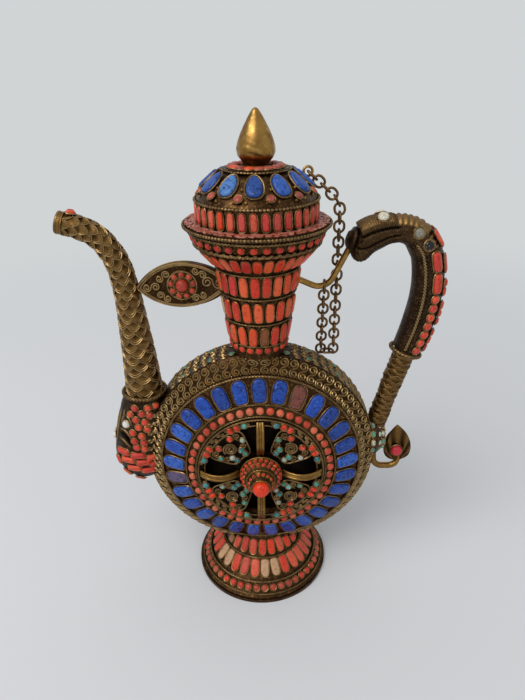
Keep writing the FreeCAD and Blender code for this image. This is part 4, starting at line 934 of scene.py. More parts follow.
class EWER_OT_medallions(bpy.types.Operator):
    """Lays straps, coils, stones and bosses on both medallions"""

    bl_idname = "ewer.medallions"
    bl_label = "Medallions"

    def execute(self, context):
        self.straps()
        self.coils()
        self.panels()
        self.inlay()
        self.bosses()
        return {"FINISHED"}

    def straps(self):
        """Prongs: pairs of round wires that arch from the boss to the rim, with a thin one between them."""
        shape = Shape()
        t = np.linspace(0, 1, 20)
        rise = PLATE_DEPTH + 0.4 + PRONG_RISE * np.sin(math.pi * t) ** 0.8
        for lathe in FACES:
            for degrees in STRAIGHT:
                turn = math.radians(degrees)
                middle = lathe.at(turn, PRONG_START + PRONG_RUN * t, rise)
                across = np.cross(lathe.axis, lathe.out(turn))
                for shift, wire in PRONG_WIRES:
                    shape.add(tube((middle + across * shift)[None], lathe.axis, wire, 8), shade_and_grime=0.35)
        shape.piece("medallion_straps", "pot", "bright_brass", ("medallion_prongs",))

    def coils(self):
        """Filigree: a large coil on each diagonal, a row of small scrolls and two ropes round the rim, over a
        floor darkened as painted shade of the recess behind the plate."""
        wire = size_mm("scroll_wire")
        shape, ground = Shape(), Shape()
        turn = np.linspace(0, COIL_TURNS * FULL, 46)
        coil = circle(turn) * (COIL_RADIUS * (1 - 0.8 * turn / turn[-1]))[:, None]
        ring = ring_turns(40, 0.5)
        ring = ring[np.abs((np.degrees(ring) + 45) % 90 - 45) > 6]
        small = place_motif(SCROLL, spread(ring * RIM_ROW, RIM_ROW, 25.0, 5.0))
        bent = circle(small[..., 0] / RIM_ROW) * small[..., 1:]
        floor = np.array([(1.0, 0.02), (1.0, 0.3), (37.6, 0.3), (38.0, 0.02)])
        for lathe in FACES:
            level = lathe.at(ring_turns(120)[None], floor[:, :1], FLOOR_DEPTH + floor[:, 1:])
            # The recess floor behind the plate, darkened as painted shade.
            ground.add(skin(level[None]), shade_and_grime=0.8)
            flat = []
            for degrees in DIAGONAL:
                out = circle(math.radians(degrees))
                side = np.array([-out[1], out[0]])
                flat.append(out * COIL_PLACE + coil[:, :1] * side + coil[:, 1:] * out)
            shape.add(self.lay(lathe, np.array(flat), 0.9, wire * 1.2))
            shape.add(self.lay(lathe, bent, 0.15, wire * 0.9))
            for radius, size in ((38.3, 0.7), (34.5, 0.55)):
                shape.add_rope(lathe.at(0.0, 0.0, PLATE_DEPTH + 0.2), lathe.axis, radius, size, 1.8)
        shape.piece("medallion_coils", "pot", "twisted_wire")
        ground.piece("medallion_floor_painted_shade", "pot", "medallion_brass")

    def panels(self):
        """Openwork panels on the diagonals: thin dark plates, each edged by a wire and filled with small
        coils."""
        wire = size_mm("scroll_wire")
        plates, edges = Shape(), Shape()
        turn = ring_turns(48)
        wide = np.radians(PANEL_SPREAD) * signed_power(np.cos(turn), 0.4)
        reach = PANEL_MIDDLE + PANEL_HALF * signed_power(np.sin(turn), 0.4)
        depth = PLATE_DEPTH - np.array([[1.1], [0.1]])
        for lathe in FACES:
            for degrees in DIAGONAL:
                angle = math.radians(degrees)
                plates.add(skin(lathe.at((angle + wide)[None], reach[None], depth)[None]))
                path = lathe.at(angle + wide, reach, PLATE_DEPTH)[None]
                edges.add(tube(path, lathe.axis, wire, 5, True))
                spots = [circle(angle + math.radians(a)) * r for a, r in PANEL_COILS]
                flat = np.array([spot + HALF_SCROLL * 9.0 - [2.25, 0] for spot in spots])
                edges.add(self.lay(lathe, flat, 0.2, wire * 0.8))
        plates.piece("medallion_panels", "pot", "medallion_brass")
        edges.piece("medallion_panel_wires", "pot", "twisted_wire")

    def lay(self, lathe, flat, lift, wire):
        """Wires along plane paths on the plate; the plane's first way is the lathe's zero."""
        points = lathe.origin + flat[..., :1] * lathe.zero + flat[..., 1:] * lathe.side
        return tube(points + lathe.axis * (PLATE_DEPTH + lift), lathe.axis, wire, 5)

    def inlay(self):
        """Coral chips, turquoise and dark stones on the diagonals and turquoise beside the straps."""
        rng = np.random.default_rng(12)
        seats = seats_of("medallion_stones")
        reach = np.hypot(seats.origin[:, 0], seats.origin[:, 2] - FLASK_HEIGHT)
        tint = pick_tints(rng, ("#4e9c8c", "#7cb0a0", "#b8c4b4", "#3f8f8f"), len(reach))
        chip = reach > CHIP_REACH
        tint[chip] = pick_tints(rng, CORALS["bright"], int(chip.sum()))
        dark = np.abs(reach - COIL_PLACE) < 1.5
        tint[dark] = linear("#15110e")
        seats.size[dark] *= (0.62, 0.62, 0.7)
        shape = Shape().add_stones(seats, tint)
        ring = Shape().add(settings(seats.pick(~dark), 0.38, 0.3, 0.4))
        rows = ((STRAIGHT, (-15.5, 15.5), (35.6, 35.6), (3.4, 3.4, 1.6), ("#58a090", "#cfd2c8", "#3d8c92")),
                (DIAGONAL, (-22, -15, 15, 22), (35.6, 35.6, 35.6, 35.6), (3.2, 4.4, 1.6), CORALS["bright"]),
                (DIAGONAL, (-21, 21, -12, 12), (26.4, 26.4, 17.0, 17.0), (3.0, 3.0, 1.4),
                 ("#4c9484", "#9fb8a8", "#c8ccc0", "#3a8488")))
        for lathe in FACES:
            for middles, shifts, radius, size, codes in rows:
                turn = np.radians([middle + shift for middle in middles for shift in shifts])
                some = self.seats(lathe, turn, np.tile(radius, len(middles)), size)
                set_stones(shape, ring, some, pick_tints(rng, codes, len(turn)), (0.4, 0.3, 0.3))
        shape.piece("medallion_inlay", "pot", "turquoise", ("medallion_stones",))
        ring.piece("medallion_settings", "pot", "twisted_wire")

    def seats(self, lathe, turn, radius, size):
        """Seats on the plate; along points away from the middle."""
        out = np.broadcast_to(lathe.axis, (len(turn), 3))
        along = lathe.out(turn)
        return Seats(lathe.at(turn, radius, PLATE_DEPTH - 0.1), np.cross(along, out), along, out,
                     np.broadcast_to(size, out.shape))

    def bosses(self):
        """Stepped bosses with three rows of coral beads, rope rings and a large coral."""
        steps, beads, rings = Shape(), Shape(), Shape()
        rng = np.random.default_rng(14)
        outline = np.array(BOSS) + [0.0, PLATE_DEPTH]
        for lathe in FACES:
            made = lathe.at(ring_turns(72)[None], outline[:, :1], outline[:, 1:])
            steps.add(skin(made[None]))
            for row, count, at, size in BOSS_BEADS:
                cone = Cone(lathe, outline[row], outline[row + 1])
                seats = cone.seats(ring_turns(count, 0.5 * (at > 2)), at, (size, size, size * 0.55))
                beads.add_stones(seats, pick_tints(rng, CORALS["bead"], count), steps=10)
                rings.add(settings(seats, 0.26, 0.12, 0.25, steps=12))
            for radius, depth, wire in BOSS_ROPES:
                rings.add_rope(lathe.at(0.0, 0.0, PLATE_DEPTH + depth), lathe.axis, radius, wire, 1.6)
        steps.piece("boss_steps", "pot", "aged_brass", ("medallion_bosses",))
        beads.piece("boss_beads", "pot", "coral")
        rings.piece("boss_ropes", "pot", "bright_brass")
        set_row("boss_corals", CORALS["bright"], name="boss_coral", seed=15, steps=32, settle=False,
                rows=BOSS_CORAL)


NECK_WAVES, NECK_WAVE_RADIUS, NECK_WAVE_HEIGHT = 54, 35.0, 233.9


class EWER_OT_neck(bpy.types.Operator):
    """Sets the neck's coral tablets and beads and lays the wavy wire under its lip"""

    bl_idname = "ewer.neck"
    bl_label = "Neck"

    def execute(self, context):
        changes = [(STAND.at(front_turn(10), 19, 181), RESIN, 0.4),
                   (STAND.at(front_turn(-75), 20, 196), BEIGE, 0.9)]
        set_row("neck_tablets", CORALS["neck"], lay=(0.9, 0.2, 0.8), low=SQUARE, high=(0.96, 3.4),
                rows=SLAB, seed=21, changes=changes, target=(0, 0, 600), grow=(0.1, 0.9, 0.0))
        set_row("neck_beads", CORALS["bead"], lay=(0.9, 0.12, 0.4), seed=22)
        turn = ring_turns(360)
        path = STAND.at(turn, NECK_WAVE_RADIUS + 0.2 * np.cos(NECK_WAVES * turn),
                        NECK_WAVE_HEIGHT + 0.8 * np.sin(NECK_WAVES * turn))
        wave = tube(path[None], STAND.out(turn), 0.5, 6, True)
        Shape().add(wave).piece("neck_wave", "pot", "twisted_wire")
        return {"FINISHED"}


# Stations of the bent pieces in the middle plane: x, z and radius; the monster head's are x, z and its half
# depth and half width.
SPOUT = ((-72, 138, 11.4), (-72.3, 158, 10.3), (-73.4, 180, 8.9), (-75, 203, 7.5), (-78.4, 222, 7.0),
         (-86.5, 235.4, 6.6), (-97, 241.6, 6.5), (-108, 244.6, 6.1))
HEAD = ((-72, 138, 11.9, 11.9), (-73.6, 124, 15.6, 14.0), (-76, 106, 17.6, 15.4), (-77.4, 92, 17.6, 14.6),
        (-77.6, 82, 13.6, 11.4), (-77.4, 75, 5.6, 5.0))
DRAGON = ((49.2, 234.4, 3.4), (51.6, 233.6, 6.4), (56.6, 232.8, 8.8), (63.8, 236.2, 9.2), (71.6, 238.4, 8.0),
          (79.6, 238.6, 7.8), (87.0, 235.2, 8.2), (92.8, 227.0, 8.8))
GRIP = ((87.0, 235.2, 8.2), (92.8, 227.0, 8.8), (95.8, 214.0, 9.1), (96.0, 199.0, 9.2), (93.2, 182.0, 9.2),
        (88.6, 166.0, 8.6))
SLEEVE = ((88.6, 166.0, 7.2), (84.0, 150.0, 6.6), (79.0, 131.0, 6.3), (74.6, 113.0, 6.4))
SPOUT_WALL = 1.4
SCALES = 7                  # scales round the spout
BACKWARD = np.array([0.0, 1.0, 0.0])


class Sweep:
    """Round sections along a smooth run of (x, z, radius) stations in the middle plane. Angles start at the
    outer side of the bend and turn towards the back."""

    def __init__(self, table, rows):
        self.at = np.linspace(0, len(table) - 1, rows)
        made = smooth(table, self.at)
        self.path = upright(made[:, :2])
        self.radius = made[:, 2]
        self.run = unit(np.gradient(self.path, axis=0))
        self.out = np.cross(self.run, BACKWARD)
        step = np.linalg.norm(np.diff(self.path, axis=0), axis=1)
        self.along = np.concatenate([[0], np.cumsum(step)])

    def grid(self, turn, lift=0.0):
        """Points at angles for every row and lifts off the section."""
        turn = np.broadcast_to(turn, (len(self.at), np.shape(turn)[-1]))[..., None]
        way = np.cos(turn) * self.out[:, None] + np.sin(turn) * BACKWARD
        return self.path[:, None] + way * (self.radius[:, None] + lift)[..., None]

    def on(self, along, turn, lift):
        """Points and normals at distances along the run, angles and lifts, all of one shape."""
        near = [np.interp(along, self.along, self.path[:, k]) for k in range(3)]
        out = unit(np.stack([np.interp(along, self.along, self.out[:, k]) for k in range(3)], -1))
        way = np.cos(turn)[..., None] * out + np.sin(turn)[..., None] * BACKWARD
        radius = np.interp(along, self.along, self.radius) + lift
        return np.stack(near, -1) + way * radius[..., None], way


def upright(flat, level=0.0):
    """Plane points (x, z) put at a level in front of or behind the middle plane."""
    return np.stack([flat[..., 0], np.full(flat.shape[:-1], level), flat[..., 1]], -1)


def sweep_seats(sweep, places, angle, size):
    """Seats on a sweep at distances along it, all at one angle; along follows the run."""
    places = np.asarray(places, float)
    turn = np.full(len(places), angle)
    origin, out = sweep.on(places, turn, -0.15)
    run = unit(sweep.on(places + 0.5, turn, -0.15)[0] - origin)
    across = unit(np.cross(run, out))
    return Seats(origin, across, run, np.cross(across, run), np.broadcast_to(size, out.shape))


# Places on the monster head as (angle in degrees, height).
CHEEKS = ((253, 133), (287, 133), (309, 133.5), (243, 128.5), (272, 129.5), (291, 128), (259, 125.5),
          (280, 124), (266, 120.5), (285, 118.8), (254, 116.5), (274, 114.5), (259, 111), (279, 109.8),
          (265, 106.4), (281, 105.2))
JAWS = ((233, 101.6), (267, 100.4), (299, 98.0), (245, 96.0), (278, 94.4), (306, 92.0), (257, 89.4),
        (289, 87.2))
EYES = ((236, 121.5), (190, 108.0))
MOUTH = ((214, 113.5), (235, 113.0), (254, 108.0))
NAPE = tuple((angle, height) for height in (132, 126.5, 121, 115.5, 110, 104.5, 99)
             for angle in (297, 312, 327))
FOLDS = ((((188, 135), (192, 120), (190, 100)), 0.9), (((204, 135), (206, 122), (203, 100)), 0.9),
         (((219, 134), (222, 127), (214, 118)), 0.8), (((214, 116.5), (236, 116.5), (257, 110.5)), 0.8),
         (((216, 110.5), (234, 109.8), (252, 105.5)), 0.8), (((226, 127), (240, 125.6), (250, 121)), 0.8))
FOLD_POINTS = 24


def head_seats(places, side, size=(1.0, 1.0, 1.0)):
    """Seats on the monster head at (angle, height) places; along runs up, and side -1 is the other cheek."""
    places = np.asarray(places, float)
    table = np.array(HEAD, float)
    row = np.interp(-places[:, 1], -table[:, 1], np.arange(len(table)))
    x, height, deep, wide = smooth(table, row).T
    turn = np.radians(places[:, 0]) * side
    across = unit(np.stack([-deep * np.sin(turn), wide * np.cos(turn), np.zeros_like(turn)], -1))
    out = unit(np.stack([np.cos(turn) / deep, np.sin(turn) / wide, np.zeros_like(turn)], -1))
    origin = np.stack([x + deep * np.cos(turn), wide * np.sin(turn), height], -1) - 0.2 * out
    return Seats(origin, across, np.cross(out, across), out, np.broadcast_to(size, out.shape))


class EWER_OT_spout(bpy.types.Operator):
    """Builds the scaled spout and the monster head that it grows from"""

    bl_idname = "ewer.spout"
    bl_label = "Spout"

    def execute(self, context):
        sweep = Sweep(SPOUT, 240)
        self.scaled_tube(sweep)
        self.wires(sweep)
        self.head()
        return {"FINISHED"}

    def scaled_tube(self, sweep):
        """An open tube with a smooth inside. Its outside has rows of overlapping scales: every second row is
        moved by half a scale, each scale falls off from its rounded edge, and the upper of two rows shows."""
        row = size_mm("scale_row")
        turn = ring_turns(14 * SCALES)
        along, end = sweep.along[:, None], sweep.along[-1]
        moved = along + self.drift(along, turn[None])
        rows = [((moved + row * (self.edge(turn, odd) - odd)) / (2 * row)) % 1 for odd in (0, 1)]
        depth = np.minimum(*rows)
        dents = 0.2 * np.sin(5 * turn[None] + along * 0.9) * np.sin(along * 0.7)
        scaled = 1 - fade(along, end - 4, end - 2.6)
        outside = sweep.grid(turn, (dents - 0.2 - 0.9 * depth) * scaled)
        inside = sweep.grid(turn, -SPOUT_WALL)[::-1]
        # Painted shade under each scale's rounded edge and over the whole inside of the tube, with slow
        # patches of grime on the outside.
        patches = fade(np.sin(3 * turn[None] + along * 0.31), 0.2, 1.0)
        darkening = (0.55 * fade(depth, 0.26, 0.5) + 0.25 * patches) * scaled
        shade_and_grime = np.concatenate([darkening, np.full(darkening.shape, 0.8)]).ravel()
        shape = Shape().add(skin(np.concatenate([outside, inside])[None], True), 0.6, shade_and_grime)
        shape.piece("spout_scaled_tube", "pot", "aged_brass", ("spout_tube",))

    def wires(self, sweep):
        """Two wires along the edge of every row of scales, a knob on every scale and two rings at the lip."""
        row, end = size_mm("scale_row"), sweep.along[-1]
        starts = np.arange(1, int((end - 5) / row) + 1)
        turn = ring_turns(20 * SCALES)
        edges = np.stack([self.edge(turn, start % 2) for start in starts])
        shape = Shape()
        for back, thick in ((0.0, 1.0), (0.3, 0.75)):
            places = row * (starts[:, None] - edges + back)
            places = places - self.drift(places, turn)
            points, out = sweep.on(places, np.broadcast_to(turn, places.shape), -0.15 - 0.45 * back)
            shape.add(tube(points, out, thick * size_mm("scale_wire"), 5, True), 0.2)
        knobs = ring_turns(SCALES, 0.5 * (1 - starts % 2)[:, None] + 0.5)
        places = np.broadcast_to(row * (starts[:, None] + 0.1), knobs.shape)
        points, ways = sweep.on(places - self.drift(places, knobs), knobs, -0.4)
        shape.add(granules(points.reshape(-1, 3), ways.reshape(-1, 3), 0.55))
        for place in (end - 3.6, end - 0.8):
            points, out = sweep.on(np.full((1, len(turn)), place), turn[None], -0.25)
            shape.add(tube(points, out, 0.55, 6, True))
        shape.piece("spout_wires", "pot", "twisted_wire")

    def edge(self, turn, odd):
        """How far a row's scales reach back over the row before, as a share of a row: round lobes between
        cusps."""
        return 0.66 * np.abs(np.sin(SCALES / 2 * turn + odd * math.pi / 2)) ** 0.85

    def drift(self, along, turn):
        """How far the rows stray along the spout, in mm: two slow waves, as scales laid by hand have."""
        return 0.6 * np.sin(2 * turn + 0.11 * along) + 0.4 * np.sin(3 * turn - 0.23 * along)

    def head(self):
        """A monster head: beads on the cheeks, white eyes, coral jaws, scrolls on the nape, wires for skin
        folds, lips and brows, and a dark strip of painted shade between the lips, laid over the carried-over
        oval head."""
        rng = np.random.default_rng(33)
        corals, eyes, wires, dark = Shape(), Shape(), Shape(), Shape()
        lay = (0.42, 0.3, 0.35)
        for side in (1, -1):
            cheeks, jaws = head_seats(CHEEKS, side, (4.0, 4.0, 2.0)), head_seats(JAWS, side, (9.2, 4.3, 2.2))
            jaws.origin = jaws.origin - 0.5 * jaws.out
            for some, ends in ((cheeks, ROUND), (jaws, SQUARE)):
                tint = pick_tints(rng, CORALS["handle"], len(some.origin))
                set_stones(corals, wires, some, tint, lay, 0.2, ends)
            pearls = pick_tints(rng, ("#f0eee6", "#d8d6cc"), len(EYES))
            set_stones(eyes, wires, head_seats(EYES, side, (4.9, 4.9, 2.6)), pearls, lay, 0.2)
            for path, wire in FOLDS:
                wires.add(self.fold(path, side, wire, (0.25, 2.9), 7), 0.1)
            # The mouth: a dark strip between the lips, painted shade of its opening.
            dark.add(self.fold(MOUTH, side, 1.5, (0.2, 2.95), 8), shade_and_grime=1.0)
            some = head_seats(NAPE, side)
            flat = np.concatenate([SCROLL * 6.0, np.zeros((len(SCROLL), 1))], -1)
            points = some.lay(np.broadcast_to(flat, (len(NAPE), *flat.shape)))
            wires.add(tube(points, some.out[:, None], 0.5, 4), 0.3)
        # Of the CAD stones, the long ones and the one at the spout's tip stay.
        kept = seats_of("spout_corals")
        kept = kept.pick((kept.size[:, 1] > 1.4 * kept.size[:, 0]) | (kept.origin[:, 2] > 200))
        tint = pick_tints(rng, CORALS["handle"], len(kept.origin))
        set_stones(corals, wires, kept, tint, lay, 0.2, SQUARE)
        corals.piece("spout_head_corals", "pot", "coral", ("spout_corals",))
        eyes.piece("spout_head_pearls", "pot", "pale_stone", ("spout_eyes",))
        wires.piece("spout_head_wires", "pot", "twisted_wire")
        dark.piece("spout_head_mouth_shade", "pot", "dark_bronze")

    def fold(self, path, side, wire, ends, sides):
        """A wire over the head through (angle, height) places on a smooth path, drawn thin at both ends as a
        sine from one phase to another."""
        places = smooth(path, np.linspace(0, len(path) - 1, FOLD_POINTS))
        seats = head_seats(places, side)
        thick = wire * np.sin(np.linspace(*ends, FOLD_POINTS))
        return tube(seats.origin[None], seats.out[None], thick[None], sides)


STRUT_TIP, STRUT_TOP, STRUT_ROOT, STRUT_LOW = (-69, 207), (-42, 221.2), (-16.5, 209), (-44, 195.6)
STRUT_HALF = 1.7
STRUT_SCROLLS = ((-60.5, 207.4, 5, 10.0, 1), (-53.6, 213.6, 32, 9.0, 1), (-53.6, 201.6, -28, 9.0, -1),
                 (-25.5, 209.6, -8, 13.0, -1), (-33.0, 215.6, -28, 9.0, 1), (-33.4, 201.6, 22, 9.0, -1))
ROSETTE, ROSETTE_RINGS = (-43.0, 208.3), ((4.7, 0.5), (8.3, 0.6))


def arc(start, middle, end, count):
    """Points on the circle through three plane points, from the first to the last."""
    a, b, c = (np.array(v, float) for v in (start, middle, end))
    lines = np.stack([b - a, c - a])
    centre = np.linalg.solve(lines, (lines * (np.stack([b, c]) + a) / 2).sum(1))
    turns = np.unwrap([math.atan2(*(v - centre)[::-1]) for v in (a, b, c)])
    turn = np.interp(np.linspace(0, 2, count), (0, 1, 2), turns)
    return centre + np.linalg.norm(a - centre) * circle(turn)


class EWER_OT_strut(bpy.types.Operator):
    """Trims the leaf strut between spout and neck"""

    bl_idname = "ewer.strut"
    bl_label = "Strut"

    def execute(self, context):
        set_row("strut_corals", ("#b8402c", "#a83a2a", "#c04a34"), name="strut_coral",
                lay=(1.0, 0.2, 0.35), seed=41)
        shape, ground = Shape(), Shape()
        flat = place_motif(SCROLL, STRUT_SCROLLS)
        rim = np.concatenate([arc(STRUT_TIP, STRUT_TOP, STRUT_ROOT, 40),
                              arc(STRUT_ROOT, STRUT_LOW, STRUT_TIP, 40)[1:-1]])
        middle = rim.mean(0)
        inner = middle + (rim - middle) * 0.93
        for side in (-1, 1):
            way = side * BACKWARD
            plates = [upright(inner, side * level) for level in (STRUT_HALF - 0.4, STRUT_HALF + 0.12)]
            ground.add(skin(np.stack(plates)[None]), shade_and_grime=0.4)
            scrolls = upright(flat, side * (STRUT_HALF + 0.3))
            shape.add(tube(scrolls, way, size_mm("scroll_wire"), 5), 0.25)
            for share_in, thick in ((0.985, 0.75), (0.92, 0.55)):
                path = upright(middle + (rim - middle) * share_in, side * STRUT_HALF)
                shape.add(tube(path[None], way, thick, 6, True), 0.2)
            for radius, thick in ROSETTE_RINGS:
                path = upright(np.array(ROSETTE) + radius * circle(ring_turns(64)), side * (STRUT_HALF + 0.2))
                shape.add(tube(path[None], way, thick, 6, True))
        shape.piece("strut_scrolls", "pot", "twisted_wire")
        ground.piece("strut_ground", "pot", "aged_brass")
        return {"FINISHED"}


DRAGON_STONES = ((5.75, "#84806f", 1.0), (6.62, "#1c1a18", 0.8))    # station, colour and height share
GRIP_COIL, GRIP_STONE = 1.95, 1.24      # angles of the coiled wires and of the corals on the grip
SLEEVE_ROW = 3.6
ROOT_SLOPE = Cone(Lathe((0, 0, 103), (1, 0, 0), (0, 0, 1)), (13.0, 70.0), (7.0, 80.0))
ROOT_ROWS = ((2.3, 14, 4.2), (6.2, 12, 3.8), (9.7, 10, 3.0))        # along, count and size


def off_outer(turn):
    """Angles off the outer side of a bend, from 0 there to half a turn at the inner side, as one row."""
    return np.abs(np.arctan2(np.sin(turn), np.cos(turn)))[None]


class EWER_OT_handle(bpy.types.Operator):
    """Builds the dragon head, the grip with its coils, the waved sleeve and the trim of the root"""

    bl_idname = "ewer.handle"
    bl_label = "Handle"

    def execute(self, context):
        self.dragon()
        self.grip()
        self.sleeve()
        self.root()
        set_row("handle_corals", CORALS["handle"], name="handle_coral", lay=(1.0, 0.25, 0.5), low=SQUARE,
                high=SQUARE, seed=51, grow=(-0.2, 0.0, -0.4))
        seats = seats_of("handle_stones")
        seats = seats.pick(seats.origin[:, 0] < 75)
        changes = [(point, linear("#d6cfb8"), 1.0) for point in seats.origin]
        sweep = Sweep(DRAGON, 150)
        for station, code, height in DRAGON_STONES:
            for side in (-1, 1):
                place = np.interp([station], sweep.at, sweep.along)
                more = sweep_seats(sweep, place, 1.35 * side, (5.4, 5.4, 2.2))
                changes.append((more.origin[0], linear(code), height))
                seats = seats.join(more)
        set_row("handle_stones", ("#8f948a",), name="handle_stone", lay=(1.7, 0.4, 0.5), seed=52,
                slot="pale_stone", changes=changes, seats=seats)
        return {"FINISHED"}

    def dragon(self):
        """A dragon head: round sections from snout to neck with two grooves along each side, a nose knob,
        brow and chin hills and ribs across the mane."""
        sweep = Sweep(DRAGON, 240)
        turn = ring_turns(120)
        side = off_outer(turn)
        along = (sweep.at / (len(DRAGON) - 1))[:, None]
        back = fade(-along, -0.72, -0.62)
        # Two grooves along each side.
        lift = -1.3 * bump(side, 1.1 + 0.3 * along, 0.09) * fade(along, 0.26, 0.32) * back
        lift = lift - 1.3 * bump(side, 2.05 - 0.2 * along, 0.1) * fade(along, 0.2, 0.26) * back
        # A strap along the top, a brow on each side, the chin and a crease behind the nose knob.
        strap = fade(-side, -0.98, -0.86) * fade(along, 0.262, 0.275) * fade(-along, -0.63, -0.6)
        lift = lift + 0.7 * strap
        lift = lift + 1.7 * bump(along, 0.285, 0.018) * bump(side, 0.8, 0.16)
        lift = lift + 3.4 * bump(along, 0.265, 0.05) * fade(side, 2.0, 2.7)
        lift = lift - 1.1 * bump(along, 0.2, 0.02) * (0.4 + 0.6 * fade(-side, -2.6, -2.0))
        # Ribs across the mane, and a fine grain on the bare skin.
        mane = fade(along, 0.62, 0.65) * fade(-side, -1.15, -1.0)
        lift = lift + mane * (0.3 - 0.7 * (0.5 + 0.5 * np.sin(along * 150)))
        grain = np.sin(along * 260 + 17 * side) * np.sin(along * 90 - 23 * side)
        lift = lift + 0.24 * grain * fade(along, 0.2, 0.24) * back * (1 - mane)
        rubbed = 0.75 * mane + 0.4 * strap + 0.12 * fade(along, 0.22, 0.3)
        # Painted shade: the grooves, the crease and the other sunken places are darkened by how deep they
        # lie.
        darkening = 0.9 * fade(-lift, 0.3, 0.9)
        shape = Shape().add(skin(sweep.grid(turn, lift)[None]), rubbed.reshape(-1, 1), darkening.ravel())
        shape.piece("handle_dragon_head", "pot", "dark_bronze", ("handle_head",))

    def grip(self):
        """The grip: a smooth sweep, flatter on its inner side, edged by a coiled wire along each side, with
        corals between the wires."""
        sweep = Sweep(GRIP, 120)
        turn = ring_turns(72)
        side = off_outer(turn)
        lift = -0.35 * bump(side, 1.8, 0.08) - 0.3 * fade(side, 2.3, 3.1)
        lift = np.broadcast_to(lift, (len(sweep.at), len(turn)))
        # Painted shade in the groove beside each coil and on the flattened inner side.
        bar = Shape().add(skin(sweep.grid(turn, lift)[None]), shade_and_grime=0.6 * fade(-lift, 0.1, 0.4).ravel())
        bar.piece("handle_grip_bar", "pot", "dark_bronze", ("handle_grip",))
        along = np.linspace(2.0, sweep.along[-1] - 1.5, 420)
        shape, corals = Shape(), Shape()
        lobe = np.cos(2 * ring_turns(8)[None] - FULL * along[:, None] / 1.9)
        thick, deep = twisted(0.95, lobe)
        for angle in (-GRIP_COIL, GRIP_COIL):
            path, out = sweep.on(along, np.full(len(along), angle), -0.05)
            # Painted shade between the coils' crests.
            shape.add(tube(path[None], out[None], thick[None], 8), 0.4, 0.8 * deep)
        rng = np.random.default_rng(53)
        rows = ((16.0, 28.0, 2, (4.8, 11.2, 2.2), SQUARE),
                (37.0, sweep.along[-1] - 3, 7, (4.4, 4.4, 2.0), ROUND))
        for angle in (-GRIP_STONE, GRIP_STONE):
            for first, last, count, size, ends in rows:
                seats = sweep_seats(sweep, np.linspace(first, last, count), angle, size)
                tint = pick_tints(rng, CORALS["handle"], count)
                set_stones(corals, shape, seats, tint, (0.45, 0.35, 0.5), 0.1, ends)
        shape.piece("handle_grip_coils", "pot", "twisted_wire")
        corals.piece("handle_grip_corals", "pot", "coral")

    def sleeve(self):
        """The sleeve: rows of low scales, as on the spout, with wavy wires between them."""
        sweep = Sweep(SLEEVE, 110)
        turn = ring_turns(64)
        along = sweep.along[:, None]
        ripple = np.sin(5 * turn[None] + math.pi * np.floor(along / SLEEVE_ROW))
        scales = fade((along / SLEEVE_ROW + 0.15 * ripple) % 1, 0.2, 1.0)
        points = sweep.grid(turn, self.dents(along, turn[None]) - 0.45 * scales)
        # Painted shade where each row of scales sinks towards the next.
        shape = Shape().add(skin(points[None]), 0.5, 0.6 * fade(scales, 0.4, 0.9).ravel())
        shape.piece("handle_sleeve_scales", "pot", "aged_brass", ("handle_sleeve",))
        starts = np.arange(SLEEVE_ROW, sweep.along[-1] - 4, SLEEVE_ROW)
        lobes = np.where(np.arange(len(starts)) % 2, math.pi, 0.0)[:, None]
        turn = ring_turns(60)
        places = starts[:, None] + 0.9 * np.sin(5 * turn[None] + lobes)
        path, out = sweep.on(places, np.broadcast_to(turn, places.shape), self.dents(places, turn) - 0.1)
        Shape().add(tube(path, out, 0.36, 5, True)).piece("handle_sleeve_wires", "pot", "twisted_wire")

    def dents(self, along, turn):
        """How far hand work pushes the sleeve in or out, in mm: two crossed waves."""
        return 0.4 * np.sin(3 * turn + 0.45 * along) * np.sin(0.7 * along + turn) - 0.2

    def root(self):
        """Trim of the root boss: three rings of set chips on its cone, with granules between them."""
        wires, chips = Shape(), Shape()
        rng = np.random.default_rng(55)
        for at, count, size in ROOT_ROWS:
            turn = ring_turns(count) + at
            tint = pick_tints(rng, ("#b9c2ae", "#8aa896", "#c8c6b4", "#4f9478", "#a8704c"), count)
            seats = ROOT_SLOPE.seats(turn, at, (size, size, 1.5), -0.1)
            set_stones(chips, wires, seats, tint, (0.42, 0.3, 0.4), 0.4)
            turn = turn + FULL / count / 2
            wires.add(granules(ROOT_SLOPE.at(turn, at + 1.6), ROOT_SLOPE.normal(turn), 0.8), 0.4)
        wires.piece("handle_root_wires", "pot", "twisted_wire")
        chips.piece("handle_root_chips", "pot", "turquoise")


TAIL = tuple((x, FLASK_HEIGHT + z) for x, z in ((73.0, 10.0), (75.6, -18.4), (91.8, -18.4), (91.8, 0.0)))
TAIL_BEND = 6.4
LEAF_FOOT, LEAF_TIP = np.array([90.4, 91.0]), np.array([89.0, 110.2])
LEAF_BROAD, LEAF_THICK = 9.0, 3.3       # half width and half thickness


def rounded(plan, bend, steps=16):
    """Plane points along straight runs whose corners are rounded to one radius."""
    plan = np.asarray(plan, float)
    ways = unit(np.diff(plan, axis=0))
    path = [plan[:1]]
    for corner, before, after in zip(plan[1:-1], ways, ways[1:]):
        half = math.acos(before @ after) / 2
        reach = bend * math.tan(half)
        middle = corner + unit(after - before) * bend * (1 / math.cos(half) - 1)
        path.append(arc(corner - before * reach, middle, corner + after * reach, steps))
    return np.concatenate(path + [plan[-1:]])


